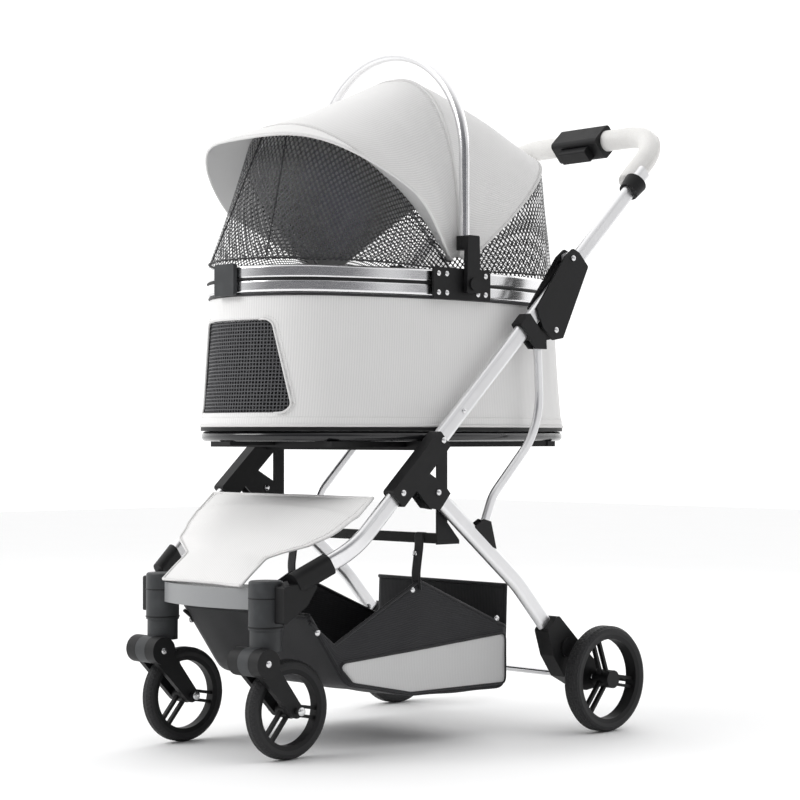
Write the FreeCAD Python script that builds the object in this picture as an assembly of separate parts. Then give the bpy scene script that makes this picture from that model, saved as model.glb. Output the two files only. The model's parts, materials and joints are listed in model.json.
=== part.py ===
import FreeCAD, Part
import math
import os

V = FreeCAD.Vector

# A folding pet stroller with a lift-off carrier, in millimetres.
# X runs across, +X is the stroller's left side. The front faces -Y and Z = 0 is the ground.
# Lengths along Y are laid out from the front caster axis, and every solid is moved back by
# origin_y when it is written, so that the origin is under the middle of the whole object.
origin_y = 417.5

# main side tubes: flat tubes on one sloping line, seen from the side
tube_x = 210.0            # middle of the tube, from the centre plane
tube_deep = 28.0
tube_wide = 15.0
tube_wall = 1.5
slope = math.radians(43.3)
line_y, line_z = 194.5, 398.5      # lower brace rivet, where the line's length is counted from
tube_top = 526.0
handle_start = 541.0
handle_end = 790.0
plate_in, plate_out = 198.6, 221.6  # inner and outer face of the black brackets on the tubes
plate_gap = 0.3

# front casters
caster_x = 129.0
caster_r = 26.0
housing_low, housing_high = 197.0, 270.0
barrel_y, barrel_z, barrel_r = -23.0, 150.0, 21.5
barrel_half = 36.0
front_trail = 40.0
front_r = 75.0
front_half = 12.0

# rear wheels and legs
rear_x, rear_y, rear_z = 254.0, 616.0, 86.5
rear_r = 86.5
rear_half = 15.0
axle_r = 6.0
leg_pivot = (268.0, 398.0)
leg_bend = (455.0, 248.0)
leg_end = (545.0, 150.0)

# fold hinge and link
fold_pivot = (576.6, 779.0)
latch_rivet = (535.8, 659.0)
link_low = (377.0, 341.0)
link_high = (502.0, 641.0)

# handle
grip_r = 19.0
grip_start = 760.0
grip_cross = 903.0
grip_bend = 85.0

# deck and carrier: four-arc ovals around one centre
oval_y = 366.0
deck_z, deck_r = 485.0, 8.0
deck_half_y, deck_half_x = 340.0, 186.0
rail_half_y, rail_half_x = 338.0, 188.0
rail_wide = 14.0
base_low, base_high = 493.3, 499.3
body_top = 705.0
rail_mid, rail_top = 726.0, 748.0
wall = 4.0

# arch handle, turning about the hub, and canopy, turning about its own line above the rail
hub_y, hub_z = 364.0, 726.0
arch_x, arch_r = 181.0, 8.5
arch_low, arch_top = 788.0, 1124.0
hood_y, hood_z = 366.0, 750.0
hood_foot, hood_foot_x = 22.0, 165.0
cover_thick, net_thick = 3.0, 2.0
bow_x, bow_top, bow_r, bow_turn = 150.0, 310.0, 2.0, 135.0
eye_r, eye_bore_r = 8.0, 3.0

parts = {}


def add(name, shape):
    """Keep one node; a list of solids becomes one group."""
    parts[name] = Part.makeCompound(shape) if isinstance(shape, list) else shape


def both_sides(name, shape):
    """The left piece and its mirror image on the right."""
    add(name + "_left", shape)
    add(name + "_right", mirrored(shape))


def mirrored(shape):
    return shape.mirror(V(0, 0, 0), V(1, 0, 0))


def box(x0, x1, y0, y1, z0, z1):
    return Part.makeBox(x1 - x0, y1 - y0, z1 - z0, V(x0, y0, z0))


def rod_x(x0, x1, y, z, r):
    return Part.makeCylinder(r, x1 - x0, V(x0, y, z), V(1, 0, 0))


def rod_z(x, y, z0, z1, r):
    return Part.makeCylinder(r, z1 - z0, V(x, y, z0), V(0, 0, 1))


def on_line(along, off=0.0):
    """A point (y, z) on the side tubes' line, off it upwards and forwards."""
    y = line_y + along * math.cos(slope) - off * math.sin(slope)
    z = line_z + along * math.sin(slope) + off * math.cos(slope)
    return (y, z)


def side_plate(points, x0, x1, corner=0.0):
    """A plate with the side outline points, between x0 and x1."""
    wire = Part.makePolygon([V(x0, y, z) for y, z in points + points[:1]])
    solid = Part.Face(wire).extrude(V(x1 - x0, 0, 0))
    if corner:
        edges = [e for e in solid.Edges if abs(e.tangentAt(e.FirstParameter).x) > 0.99]
        solid = solid.makeFillet(corner, edges)
    return solid


def bent_wire(points, radii):
    """Straight runs joined by tangent arcs of the given radii."""
    edges = []
    start = V(*points[0])
    for i in range(1, len(points) - 1):
        corner = V(*points[i])
        back = (V(*points[i - 1]) - corner).normalize()
        ahead = (V(*points[i + 1]) - corner).normalize()
        half = back.getAngle(ahead) / 2.0
        reach = radii[i - 1] / math.tan(half)
        middle = (back + ahead).normalize()
        centre = corner + middle * (radii[i - 1] / math.sin(half))
        first = corner + back * reach
        last = corner + ahead * reach
        edges.append(Part.LineSegment(start, first).toShape())
        edges.append(Part.Arc(first, centre - middle * radii[i - 1], last).toShape())
        start = last
    edges.append(Part.LineSegment(start, V(*points[-1])).toShape())
    return Part.Wire(edges)


def swept(path, profile, sideways=None):
    """A solid swept along a path; sideways keeps a flat profile upright."""
    shell = Part.BRepOffsetAPI.MakePipeShell(path)
    if sideways:
        shell.setBiNormalMode(sideways)
    else:
        shell.setFrenetMode(False)
    shell.add(profile)
    shell.build()
    shell.makeSolid()
    return shell.shape()


def round_bar(points, radii, r):
    path = bent_wire(points, radii)
    first = V(*points[0])
    along = V(*points[1]) - first
    return swept(path, Part.Wire(Part.makeCircle(r, first, along)))


def flat_profile(at, along, deep, wide):
    """A flat section with round ends, square to along, its wide way along X."""
    up = along.cross(V(1, 0, 0)).normalize()
    r = wide / 2.0
    reach = deep / 2.0 - r
    side = V(r, 0, 0)
    a, b = at + up * reach + side, at - up * reach + side
    c, d = at - up * reach - side, at + up * reach - side
    return Part.Wire([Part.LineSegment(a, b).toShape(),
                      Part.Arc(b, at - up * (reach + r), c).toShape(),
                      Part.LineSegment(c, d).toShape(),
                      Part.Arc(d, at + up * (reach + r), a).toShape()])


def flat_bar(points, radii, deep, wide):
    first = V(*points[0])
    along = V(*points[1]) - first
    return swept(bent_wire(points, radii), flat_profile(first, along, deep, wide), V(1, 0, 0))


def flat_tube(points, radii, deep=tube_deep, wide=tube_wide):
    outer = flat_bar(points, radii, deep, wide)
    return outer.cut(flat_bar(points, radii, deep - 2 * tube_wall, wide - 2 * tube_wall))


def oval(half_y, half_x, z, middle=oval_y):
    """A four-arc oval: small arcs at the ends, wide ones along the sides."""
    end_r = 0.8 * half_x
    far = half_y - end_r
    side_r = (far ** 2 + half_x ** 2 - end_r ** 2) / (2 * (half_x - end_r))
    reach = side_r - half_x
    length = math.hypot(far, reach)
    ty = far + end_r * far / length
    tx = end_r * reach / length

    def arc(a, b, c):
        return Part.Arc(*[V(x, middle + y, z) for x, y in (a, b, c)]).toShape()

    return Part.Wire([arc((tx, ty), (0, half_y), (-tx, ty)),
                      arc((-tx, ty), (-half_x, 0), (-tx, -ty)),
                      arc((-tx, -ty), (0, -half_y), (tx, -ty)),
                      arc((tx, -ty), (half_x, 0), (tx, ty))])


def oval_block(half_y, half_x, z0, z1):
    return Part.Face(oval(half_y, half_x, z0)).extrude(V(0, 0, z1 - z0))


def oval_ring(half_y, half_x, thick, z0, z1):
    outer = oval_block(half_y, half_x, z0, z1)
    return outer.cut(oval_block(half_y - thick, half_x - thick, z0, z1))


def tapered_oval(low, high, z0, z1):
    return Part.makeLoft([oval(*low, z0), oval(*high, z1)], True, True)


def turned(points, x, y, z):
    """A ring or disc turned about the X axis; points are (radius, offset along X)."""
    wire = Part.makePolygon([V(x + along, y, z + r) for r, along in points + points[:1]])
    return Part.Face(wire).revolve(V(x, y, z), V(1, 0, 0), 360)


# ---- frame -------------------------------------------------------------------------------

tube_route = [(tube_x,) + on_line(tube_top), (208.0, 108.0, 317.0), (172.0, 34.0, 272.0)]


def side_tube():
    return flat_tube(tube_route, [150.0])


def tube_space(grow):
    """The side tube's outer shape made larger, for cutting a bracket's channel."""
    return flat_bar(tube_route, [150.0], tube_deep + 2 * grow, tube_wide + 2 * grow)


def front_socket():
    """Black bracket that holds the tube's end to the caster housing."""
    end = V(*tube_route[2])
    along = (V(*tube_route[1]) - end).normalize()
    sleeve = flat_bar([tuple(end - along * 14), tuple(end + along * 46)], [], 36.0, 23.0)
    arm = side_plate([(-4, 205), (40, 232), (62, 262), (40, 268), (-4, 262)], 0, 44, 3.0)
    arm.translate(V(caster_x + 4, 0, 0))
    block = sleeve.fuse(arm).removeSplitter()
    block = block.cut(tube_space(0.0))
    return block.cut(rod_z(caster_x, 0, housing_low - 1, housing_high + 1, caster_r))


def caster_housing():
    body = rod_z(caster_x, 0, housing_low, housing_high, caster_r)
    body = body.makeFillet(4.0, [e for e in body.Edges if abs(e.BoundBox.ZMin - housing_high) < 0.01
                                 and e.BoundBox.ZLength < 0.01])
    return body.cut(rod_z(caster_x, 0, housing_low - 1, 241.0, 8.05))


def footrest():
    """Hollow grey plate with a bowed front lip and rows of holes through its top."""
    low, high = 226.0, 257.0
    side, back, front = 118.0, 44.0, -34.0

    def bowed(inset, z0, z1):
        x = side - inset
        a, b = V(x, back - inset, z0), V(x, -8 + inset, z0)
        c, d = V(-x, -8 + inset, z0), V(-x, back - inset, z0)
        wire = Part.Wire([Part.LineSegment(a, b).toShape(),
                          Part.Arc(b, V(0, front + inset, z0), c).toShape(),
                          Part.LineSegment(c, d).toShape(), Part.LineSegment(d, a).toShape()])
        return Part.Face(wire).extrude(V(0, 0, z1 - z0))

    plate = bowed(0, low, high).cut(bowed(3.0, low - 1, high - 4.0))
    for x in (-caster_x, caster_x):
        plate = plate.cut(rod_z(x, 0, low - 1, high + 1, caster_r + 0.2))
    return plate


def leg_panel():
    """Cloth between the front tubes, from the basket's top to the footrest."""
    profile = [(154, 391), (112, 366), (60, 326), (10, 287), (-22, 262),
               (-20, 259.5), (12, 284), (62, 323), (114, 363), (155, 388)]
    sheet = side_plate(profile, -200, 200)
    plan = Part.Face(Part.makePolygon([V(x, y, 200) for x, y in
                                       ((-196, 160), (196, 160), (148, 34), (98, 30), (98, -30),
                                        (-98, -30), (-98, 30), (-148, 34), (-196, 160))]))
    return sheet.common(plan.extrude(V(0, 0, 250)))


def brace():
    """Y bracket that joins the side tube, the rear leg and the basket's cross bar."""
    half = tube_deep / 2.0 + 3.0
    sleeve = side_plate([on_line(-16, half), on_line(122, half), on_line(122, -half),
                         on_line(-16, -half)], plate_in, plate_out, 5.0)
    arm = [on_line(22, -10), on_line(58, -10), (281, 410), (294, 396), (272, 371), (250, 374)]
    cheeks = [side_plate(arm, plate_in, tube_x - 8.0, 0),
              side_plate(arm, tube_x + 8.0, plate_out, 0)]
    hanger = side_plate([(284, 476), (306, 476), (306, 350), (332, 322), (332, 316), (284, 316)],
                        plate_in, tube_x - 8.0, 0)
    body = sleeve.fuse(cheeks + [hanger]).removeSplitter()
    body = body.cut(tube_space(0.0))
    return body.cut(rod_x(plate_in - 1, plate_out + 1, *leg_pivot, 5.0))


def deck_frame():
    """Cross beam and two side bars under the deck ring, with tabs that hold the carrier."""
    under = deck_z - deck_r
    beam = box(-plate_in, plate_in, 268, 298, under - 14, under)
    bars = [box(x - 8, x + 8, 120, 600, under - 9, under) for x in (-140, 140)]
    ends = [box(-150, 150, y - 9, y + 9, under - 9, under) for y in (120, 600)]
    tongues = [box(-14, 14, y0, y1, under - 6, under) for y0, y1 in ((22, 124), (596, 712))]
    return beam.fuse(bars + ends + tongues).removeSplitter()


def deck_ring():
    path = oval(deck_half_y, deck_half_x, deck_z)
    start = path.Edges[0].valueAt(path.Edges[0].FirstParameter)
    along = path.Edges[0].tangentAt(path.Edges[0].FirstParameter)
    return swept(path, Part.Wire(Part.makeCircle(deck_r, start, along)))


hinge_outline = [(558, 781), (577, 795), (592, 789), (614, 767),
                 (552, 646), (528, 642), (504, 662), (490, 694)]


def hinge_housing():
    """Black wedge at the fold: two cheeks round the tubes and a web under the lower tube."""
    cheeks = [side_plate(hinge_outline, plate_in, tube_x - 8.0, 3.5),
              side_plate(hinge_outline, tube_x + 8.0, plate_out, 3.5)]
    web = side_plate([on_line(416, -14.3), on_line(500, -14.3), on_line(468, -50), on_line(428, -40)],
                     tube_x - 9.0, tube_x + 9.0)
    body = cheeks[0].fuse([cheeks[1], web]).removeSplitter()
    body = body.cut(tube_space(0.0))
    return body.cut(rod_x(plate_in - 1, plate_out + 1, *fold_pivot, 5.0))


bar_y = 292.0


def basket_bar():
    return box(-plate_in, plate_in, bar_y, bar_y + 8, 317, 333)


side_slope = [(40, 222), (111, 167), (288, 260), (482, 174), (482, 300), (40, 300)]
basket_x = 155.0


def basket():
    """Open-topped cloth basket with low sides and a tall back."""
    outside = [(62, 216), (139, 106), (268, 80), (480, 76), (486, 241)]
    inside = [(66, 240), (142, 110), (269, 84), (476, 80), (482, 260)]
    shell = side_plate(outside, -basket_x, basket_x)
    shell = shell.cut(side_plate(inside, 4 - basket_x, basket_x - 4))
    return shell.cut([side_plate(side_slope, basket_x - 4.5, basket_x + 1),
                      side_plate(side_slope, -basket_x - 1, 4.5 - basket_x)])


def basket_straps():
    """Two straps that hang the basket's sides from the cross bar."""
    x0, x1 = basket_x - 14.0, basket_x + 8.0
    strap = box(x0, x1, bar_y - 3.6, bar_y - 0.1, 240, 333)
    strap = strap.cut(box(basket_x - 4.2, basket_x + 0.2, 280, 300, 230, 262))
    return [strap, mirrored(strap)]


def frame_fasteners():
    """Rivets through the brackets, the fold and leg pivot pins, and the basket's snaps."""
    left = [rod_x(plate_out, plate_out + 2.2, y, z, 5.0) for y, z in (on_line(0), on_line(117), latch_rivet)]
    left += [rod_x(plate_in - 1.5, plate_out + 1.5, y, z, 5.0) for y, z in (fold_pivot, leg_pivot)]
    left.append(rod_x(tube_x + tube_wide / 2, tube_x + tube_wide / 2 + 2, *on_line(184), 4.0))
    left.append(Part.makeCylinder(5.0, 2.0, V(basket_x - 9, bar_y - 3.6, 300), V(0, -1, 0)))
    left.append(Part.makeCylinder(6.0, 2.0, V(basket_x - 14, 486.3, 226), V(0, 1, 0)))
    return left + [mirrored(rivet) for rivet in left]


both_sides("side_tube", side_tube())
both_sides("front_socket", front_socket())
both_sides("caster_housing", caster_housing())
add("footrest", footrest())
add("leg_panel", leg_panel())
both_sides("brace", brace())
add("deck_ring", deck_ring())
add("deck_frame", deck_frame())
both_sides("hinge_housing", hinge_housing())
add("basket_bar", basket_bar())
add("basket", basket())
add("basket_straps", basket_straps())
add("frame_fasteners", frame_fasteners())

# ---- rear legs, their links and the brakes -------------------------------------------------

leg_route = [(tube_x,) + leg_pivot, (tube_x,) + leg_bend, (tube_x,) + leg_end]


def rear_leg():
    tube = flat_tube(leg_route, [260.0])
    eye = rod_x(tube_x - 7.5, tube_x + 7.5, *leg_pivot, 14.0)
    return tube.fuse(eye).removeSplitter().cut(rod_x(plate_in - 1, plate_out + 1, *leg_pivot, 5.05))


foot_pivot = (553.0, 140.0)


def leg_foot():
    """Black end bracket that clamps the leg's end, the axle and the brake pedal's pin."""
    outline = [(506, 170), (532, 194), (584, 146), (630, 106), (630, 70), (598, 66), (546, 92), (520, 128)]
    body = side_plate(outline, 199.0, 229.0, 6.0)
    body = body.fuse(rod_x(228.0, 233.0, *foot_pivot, 16.0))
    body = body.cut(flat_bar(leg_route, [260.0], tube_deep, tube_wide))
    return body.cut(rod_x(190, 240, rear_y, rear_z, axle_r))


def rear_axle():
    """Chrome tube across the legs with a stub for each wheel."""
    bar = rod_x(-229.2, 229.2, rear_y, rear_z, axle_r)
    stubs = [rod_x(229.0, 266.0, rear_y, rear_z, 5.0), rod_x(-266.0, -229.0, rear_y, rear_z, 5.0)]
    return bar.fuse(stubs).removeSplitter()


def brake_pedal():
    """Foot pedal that turns on the rear axle, just inside the leg's end bracket."""
    hub = rod_x(180.0, 198.4, rear_y, rear_z, 11.0)
    arm = side_plate([(616, 96), (616, 77), (668, 78), (668, 86)], 180.0, 198.4)
    pad = side_plate([(660, 88), (658, 80), (700, 72), (702, 80)], 176.0, 234.0, 2.0)
    body = hub.fuse([arm, pad]).removeSplitter()
    return body.cut(rod_x(170.0, 210.0, rear_y, rear_z, axle_r + 0.08))


def link_lug():
    """Black lug on top of the leg, with the link's lower pin."""
    outline = [(352, 343), (372, 354), (388, 350), (400, 306), (352, 322)]
    cheeks = [side_plate(outline, tube_x - 7.4, tube_x - 4.9),
              side_plate(outline, tube_x + 4.9, tube_x + 7.4)]
    pin = rod_x(tube_x - 6.0, tube_x + 6.0, *link_low, 4.0)
    body = cheeks[0].fuse([cheeks[1], pin]).removeSplitter()
    return body.cut(flat_bar(leg_route, [260.0], tube_deep, tube_wide))


def link_rod():
    """Curved flat rod from the runner under the hinge to the lug on the rear leg."""
    rod = flat_bar([(tube_x,) + link_high, (tube_x, 509.0, 500.0), (tube_x, 398.0, 390.0),
                    (tube_x,) + link_low], [130.0, 70.0], 16.0, 9.0)
    eyes = [rod_x(tube_x - 4.5, tube_x + 4.5, *link_high, 8.0),
            rod_x(tube_x - 4.5, tube_x + 4.5, *link_low, 8.5)]
    return rod.fuse(eyes).removeSplitter().cut(rod_x(190, 230, *link_low, 4.05))


def link_runner():
    """Collar that slides on the side tube and takes the link's upper end between two cheeks."""
    collar = side_plate([on_line(371, 17), on_line(399, 17), on_line(399, -19), on_line(371, -19)],
                        plate_in, plate_out, 2.5)
    outline = [on_line(371, -15), on_line(399, -15), (514, 650), (515, 627), (490, 627)]
    cheeks = [side_plate(outline, tube_x - 9.5, tube_x - 5.2, 0),
              side_plate(outline, tube_x + 5.2, tube_x + 9.5, 0)]
    body = collar.fuse(cheeks).removeSplitter()
    return body.cut(tube_space(0.3))


both_sides("rear_leg", rear_leg())
both_sides("leg_foot", leg_foot())
add("rear_axle", rear_axle())
both_sides("brake_pedal", brake_pedal())
add("link_lugs", [link_lug(), mirrored(link_lug())])
add("link_rods", [link_rod(), mirrored(link_rod())])
add("link_runners", [link_runner(), mirrored(link_runner())])

# ---- handle --------------------------------------------------------------------------------


def handle_tube():
    tube = flat_tube([(tube_x,) + on_line(handle_start), (tube_x,) + on_line(grip_start + 30)], [],
                     tube_deep - 2, tube_wide - 1)
    ear = rod_x(tube_x - 7.0, tube_x + 7.0, *fold_pivot, 10.0)
    cheek = side_plate([on_line(handle_start, 13), on_line(handle_start, 0), on_line(handle_start + 16, 0),
                        on_line(handle_start + 16, 13)], tube_x - 7.0, tube_x + 7.0)
    return tube.fuse([ear, cheek]).removeSplitter().cut(rod_x(190, 230, *fold_pivot, 5.05))


def grip():
    """One padded grip bent round both corners of the handle."""
    corner = on_line(grip_cross)
    start = on_line(grip_start)
    points = [(tube_x,) + start, (tube_x,) + corner, (-tube_x,) + corner, (-tube_x,) + start]
    bar = round_bar(points, [grip_bend, grip_bend], grip_r)
    for x in (tube_x, -tube_x):
        bar = bar.cut(flat_bar([(x,) + on_line(grip_start - 5), (x,) + on_line(grip_start + 30)], [],
                               tube_deep - 2, tube_wide - 1))
    return bar


def grip_cap():
    """Tapered black cap below the grip."""
    start = V(tube_x, *on_line(grip_start - 26))
    along = V(0, math.cos(slope), math.sin(slope))
    cap = Part.makeCone(17.0, grip_r + 0.8, 26.0, start, along)
    return cap.cut(flat_bar([(tube_x,) + on_line(grip_start - 40), (tube_x,) + on_line(grip_start + 5)], [],
                            tube_deep - 2, tube_wide - 1))


def handle_plane_box(half_x, along0, along1, off0, off1, corner):
    """A rounded block in the plane of the handle."""
    outline = [on_line(along0, off0), on_line(along1, off0), on_line(along1, off1), on_line(along0, off1)]
    return side_plate(outline, -half_x, half_x, corner)


def control_box():
    case = handle_plane_box(54.0, grip_cross - 27, grip_cross + 22, -22.0, 23.0, 8.0)
    slot = handle_plane_box(33.0, grip_cross - 28, grip_cross - 19.3, -14.0, 13.0, 0)
    bar = rod_x(-60, 60, *on_line(grip_cross), grip_r)
    return case.cut([bar, slot])


def fold_trigger():
    """Finger lever in the slot on the inner side of the control box."""
    return handle_plane_box(32.0, grip_cross - 42, grip_cross - 25.5, -13.0, 12.0, 3.0)


both_sides("handle_tube", handle_tube())
add("grip", grip())
add("grip_caps", [grip_cap(), mirrored(grip_cap())])
add("control_box", control_box())
add("fold_trigger", fold_trigger())

# ---- casters and wheels --------------------------------------------------------------------


def caster_swivel():
    """Turning lower half of the caster: stem, collar and the middle of the cross barrel."""
    body = rod_z(caster_x, 0, 165.0, 196.6, 24.0)
    stem = rod_z(caster_x, 0, 196.0, 240.0, 8.0)
    barrel = rod_x(caster_x - 12.5, caster_x + 12.5, barrel_y, barrel_z, barrel_r)
    neck = box(caster_x - 12.5, caster_x + 12.5, -24.0, 8.0, 158.0, 170.0)
    room = [rod_x(caster_x + x0, caster_x + x1, barrel_y, barrel_z, barrel_r + 0.6)
            for x0, x1 in ((12.6, 40.0), (-40.0, -12.6))]
    body = body.cut(room).fuse([stem, barrel, neck]).removeSplitter()
    return body.cut(rod_x(caster_x - 20, caster_x + 20, barrel_y, barrel_z, 6.05))


def caster_fork():
    """Two arms on one pivot pin, from the cross barrel down to the wheel's axle."""
    dy, dz = front_trail - barrel_y, front_r - barrel_z
    turn = math.atan2(dz, dy)
    across = (-math.sin(turn), math.cos(turn))
    solids = []
    for side in (-1, 1):
        inner, outer = sorted((side * 14.2, side * 25.0))
        end_in, end_out = sorted((side * 13.0, side * barrel_half))
        top_r, low_r = 17.5, 11.5
        outline = [(barrel_y + across[0] * top_r, barrel_z + across[1] * top_r),
                   (front_trail + across[0] * low_r, front_r + across[1] * low_r),
                   (front_trail - across[0] * low_r, front_r - across[1] * low_r),
                   (barrel_y - across[0] * top_r, barrel_z - across[1] * top_r)]
        solids.append(side_plate(outline, caster_x + inner, caster_x + outer))
        solids.append(rod_x(caster_x + end_in, caster_x + end_out, barrel_y, barrel_z, barrel_r))
        solids.append(rod_x(caster_x + inner, caster_x + outer, front_trail, front_r, low_r))
    pin = rod_x(caster_x - 20, caster_x + 20, barrel_y, barrel_z, 6.0)
    axle = rod_x(caster_x - 27, caster_x + 27, front_trail, front_r, 5.0)
    return pin.fuse(solids + [axle]).removeSplitter()


def wheel_rim(x, y, z, radius, half, bore, cap):
    """Rim, hub and three pairs of spokes; cap is how far the hub's outer dome stands out."""
    rim_r = radius - 14.0
    ring = turned([(rim_r, -half + 2), (rim_r, half - 2), (rim_r - 7, half - 4), (rim_r - 7, -half + 4)],
                  x, y, z)
    hub = rod_x(x - half - 0.5, x + half + cap, y, z, radius * 0.17)
    solids = [hub]
    for i in range(3):
        for off in (-7.0, 7.0):
            spoke = box(x - 3.5, x + 3.5, y + off - 2.5, y + off + 2.5, z + 6, z + rim_r - 4)
            solids.append(spoke.rotate(V(x, y, z), V(1, 0, 0), 120.0 * i + 20.0))
    wheel = ring.fuse(solids).removeSplitter()
    if cap:
        return wheel.cut(rod_x(x - half - 1, x + half + cap - 3, y, z, bore))
    return wheel.cut(rod_x(x - half - 1, x + half + 1, y, z, bore))


def tyre(x, y, z, radius, half):
    rim_r = radius - 14.0
    half_outline = [(rim_r, half - 2), (rim_r + 6, half), (radius - 4, half - 1.5), (radius, half - 7)]
    return turned([(r, -w) for r, w in half_outline] + half_outline[::-1], x, y, z)


both_sides("caster_swivel", caster_swivel())
both_sides("caster_fork", caster_fork())
both_sides("front_rim", wheel_rim(caster_x, front_trail, front_r, front_r, front_half, 5.05, 0))
both_sides("front_tyre", tyre(caster_x, front_trail, front_r, front_r, front_half))
both_sides("rear_rim", wheel_rim(rear_x, rear_y, rear_z, rear_r, rear_half, 5.05, 4.0))
both_sides("rear_tyre", tyre(rear_x, rear_y, rear_z, rear_r, rear_half))

# ---- carrier -------------------------------------------------------------------------------

body_low = (349.0, 193.0)
body_high = (334.0, 184.0)


def inset(size, by):
    return (size[0] - by, size[1] - by)


def window_block(grow, y0, y1):
    """The front window's tapered outline as a block along Y."""
    low, high, wide, narrow = 521.0 - grow, 664.0 + grow, 112.0 + grow, 78.0 + grow
    points = [(-wide, low), (wide, low), (narrow, high), (-narrow, high)]
    wire = Part.makePolygon([V(x, y0, z) for x, z in points + points[:1]])
    block = Part.Face(wire).extrude(V(0, y1 - y0, 0))
    corners = [e for e in block.Edges if abs(e.tangentAt(e.FirstParameter).y) > 0.99]
    return block.makeFillet(14.0, corners)


def carrier_wall(outer_by, inner_by):
    outside = tapered_oval(inset(body_low, outer_by), inset(body_high, outer_by), base_high, body_top)
    inside = tapered_oval(inset(body_low, inner_by), inset(body_high, inner_by), base_high, body_top)
    return outside.cut(inside)


def rail(z0, z1):
    """An oval extrusion with its two outer edges rounded."""
    ring = oval_ring(rail_half_y, rail_half_x, rail_wide, z0, z1)
    rims = [e for e in ring.Edges if e.BoundBox.ZLength < 0.01 and on_outer_rim(e)]
    return ring.makeFillet(5.0, rims)


def on_outer_rim(edge):
    """True for an edge on the rail's outer wall."""
    middle = edge.valueAt((edge.FirstParameter + edge.LastParameter) / 2)
    reach = max(abs(middle.x) - (rail_half_x - 1), abs(middle.y - oval_y) - (rail_half_y - 1))
    return reach > 0


def hub_plate():
    plate = side_plate([(286, 701), (412, 701), (412, 751), (286, 751)], 188.3, 192.3, 4.0)
    return plate.cut(rod_x(180, 200, hub_y, hub_z, 6.05))


def rail_rivets():
    """Eight rivets on each hub plate."""
    rivets = []
    for side in (-1, 1):
        for y in (297, 315, 384, 401):
            for z in (711, 741):
                x0, x1 = sorted((side * 192.3, side * 194.3))
                rivets.append(rod_x(x0, x1, y, z, 4.5))
    return rivets


def front_clip():
    clip = box(-24, 24, 20.5, 27.9, 702, 751)
    corners = [e for e in clip.Edges if abs(e.tangentAt(e.FirstParameter).y) > 0.99]
    return clip.makeFillet(4.0, corners)


def hood_section(turn, height, belly, foot_x, thick):
    """A thin arch in a plane through the hub line, turned up from the rear; its legs bow out to belly."""
    angle = math.radians(turn)

    def arch(inset_by):
        points = []
        for i in range(17):
            t = math.pi * i / 16.0
            c, s = math.cos(t), math.sin(t)
            bow = math.sin(min(1.0, 2.0 * s) * math.pi / 2.0)
            half_x = foot_x + (belly - foot_x) * bow - inset_by
            x = half_x * math.copysign(abs(c) ** (2 / 2.4), c)
            r = hood_foot + (height - inset_by - hood_foot) * s ** (2 / 2.4)
            points.append(V(x, hood_y + r * math.cos(angle), hood_z + r * math.sin(angle)))
        curve = Part.BSplineCurve()
        curve.interpolate(points)
        return curve.toShape(), points

    outer, op = arch(0.0)
    inner, ip = arch(thick)
    return Part.Wire([outer, Part.LineSegment(op[-1], ip[-1]).toShape(), inner,
                      Part.LineSegment(ip[0], op[0]).toShape()])


def hood(stations, thick):
    """A curved sheet lofted through arches; stations are (angle, height, belly, foot x)."""
    return Part.makeLoft([hood_section(*station, thick) for station in stations], True, False)


def canopy():
    """The cover from the rear bow to the front seam, and the peak that flares out in front of the seam."""
    seam = (137.0, 332.0, 184.0, hood_foot_x)
    hem = (146.5, 372.0, 250.0, 199.0)
    cover = hood([(36.2, 374.0, 165.0, hood_foot_x), (47.0, 345.0, 165.0, hood_foot_x),
                  (75.0, 320.0, 165.0, hood_foot_x), (89.0, 325.0, 165.0, hood_foot_x),
                  (107.0, 304.0, 168.0, hood_foot_x), (122.0, 304.0, 175.0, hood_foot_x), seam], cover_thick)
    return cover.fuse(hood([seam, hem], cover_thick)).removeSplitter()


def canopy_bow():
    """Spring-wire bow inside the canopy's front seam, with a flat eye on the hub line at each end."""
    angle = math.radians(bow_turn)
    points = []
    for x, r in ((bow_x, 6.0), (bow_x, bow_top), (-bow_x, bow_top), (-bow_x, 6.0)):
        points.append((x, hood_y + r * math.cos(angle), hood_z + r * math.sin(angle)))
    bow = round_bar(points, [bow_x - 8.0, bow_x - 8.0], bow_r)
    for side in (-1, 1):
        x0, x1 = sorted((side * (bow_x - 1.8), side * (bow_x + 1.8)))
        bow = bow.fuse(rod_x(x0, x1, hood_y, hood_z, eye_r))
    for side in (-1, 1):
        x0, x1 = sorted((side * (bow_x - 4.0), side * (bow_x + 4.0)))
        bow = bow.cut(rod_x(x0, x1, hood_y, hood_z, eye_bore_r))
    return bow


add("carrier_base", oval_block(350.0, 194.0, base_low, base_high))
add("carrier_body", carrier_wall(0.0, wall).cut(window_block(0.0, 0.0, 200.0)))
add("window_mesh", carrier_wall(1.2, 2.8).common(window_block(-0.2, 0.0, 200.0)))
add("lower_rail", rail(body_top, rail_mid))
add("upper_rail", rail(rail_mid, rail_top))
add("hub_plates", [hub_plate(), mirrored(hub_plate())])
add("rail_rivets", rail_rivets())
add("front_clip", front_clip())
add("rear_mesh", hood([(1.0, 331.0, 165.0, hood_foot_x), (12.0, 334.0, 165.0, hood_foot_x),
                       (24.0, 345.0, 165.0, hood_foot_x), (35.6, 371.0, 165.0, hood_foot_x)], net_thick))
add("canopy", canopy())
add("canopy_bow", canopy_bow())
add("front_mesh", hood([(137.7, 329.0, 181.0, 161.0), (148.0, 318.0, 178.0, 161.0),
                        (158.0, 313.0, 176.0, 161.0), (168.0, 318.0, 178.0, 163.0),
                        (179.0, 331.0, 182.0, 165.0)], net_thick))

# ---- arch handle ---------------------------------------------------------------------------


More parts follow.
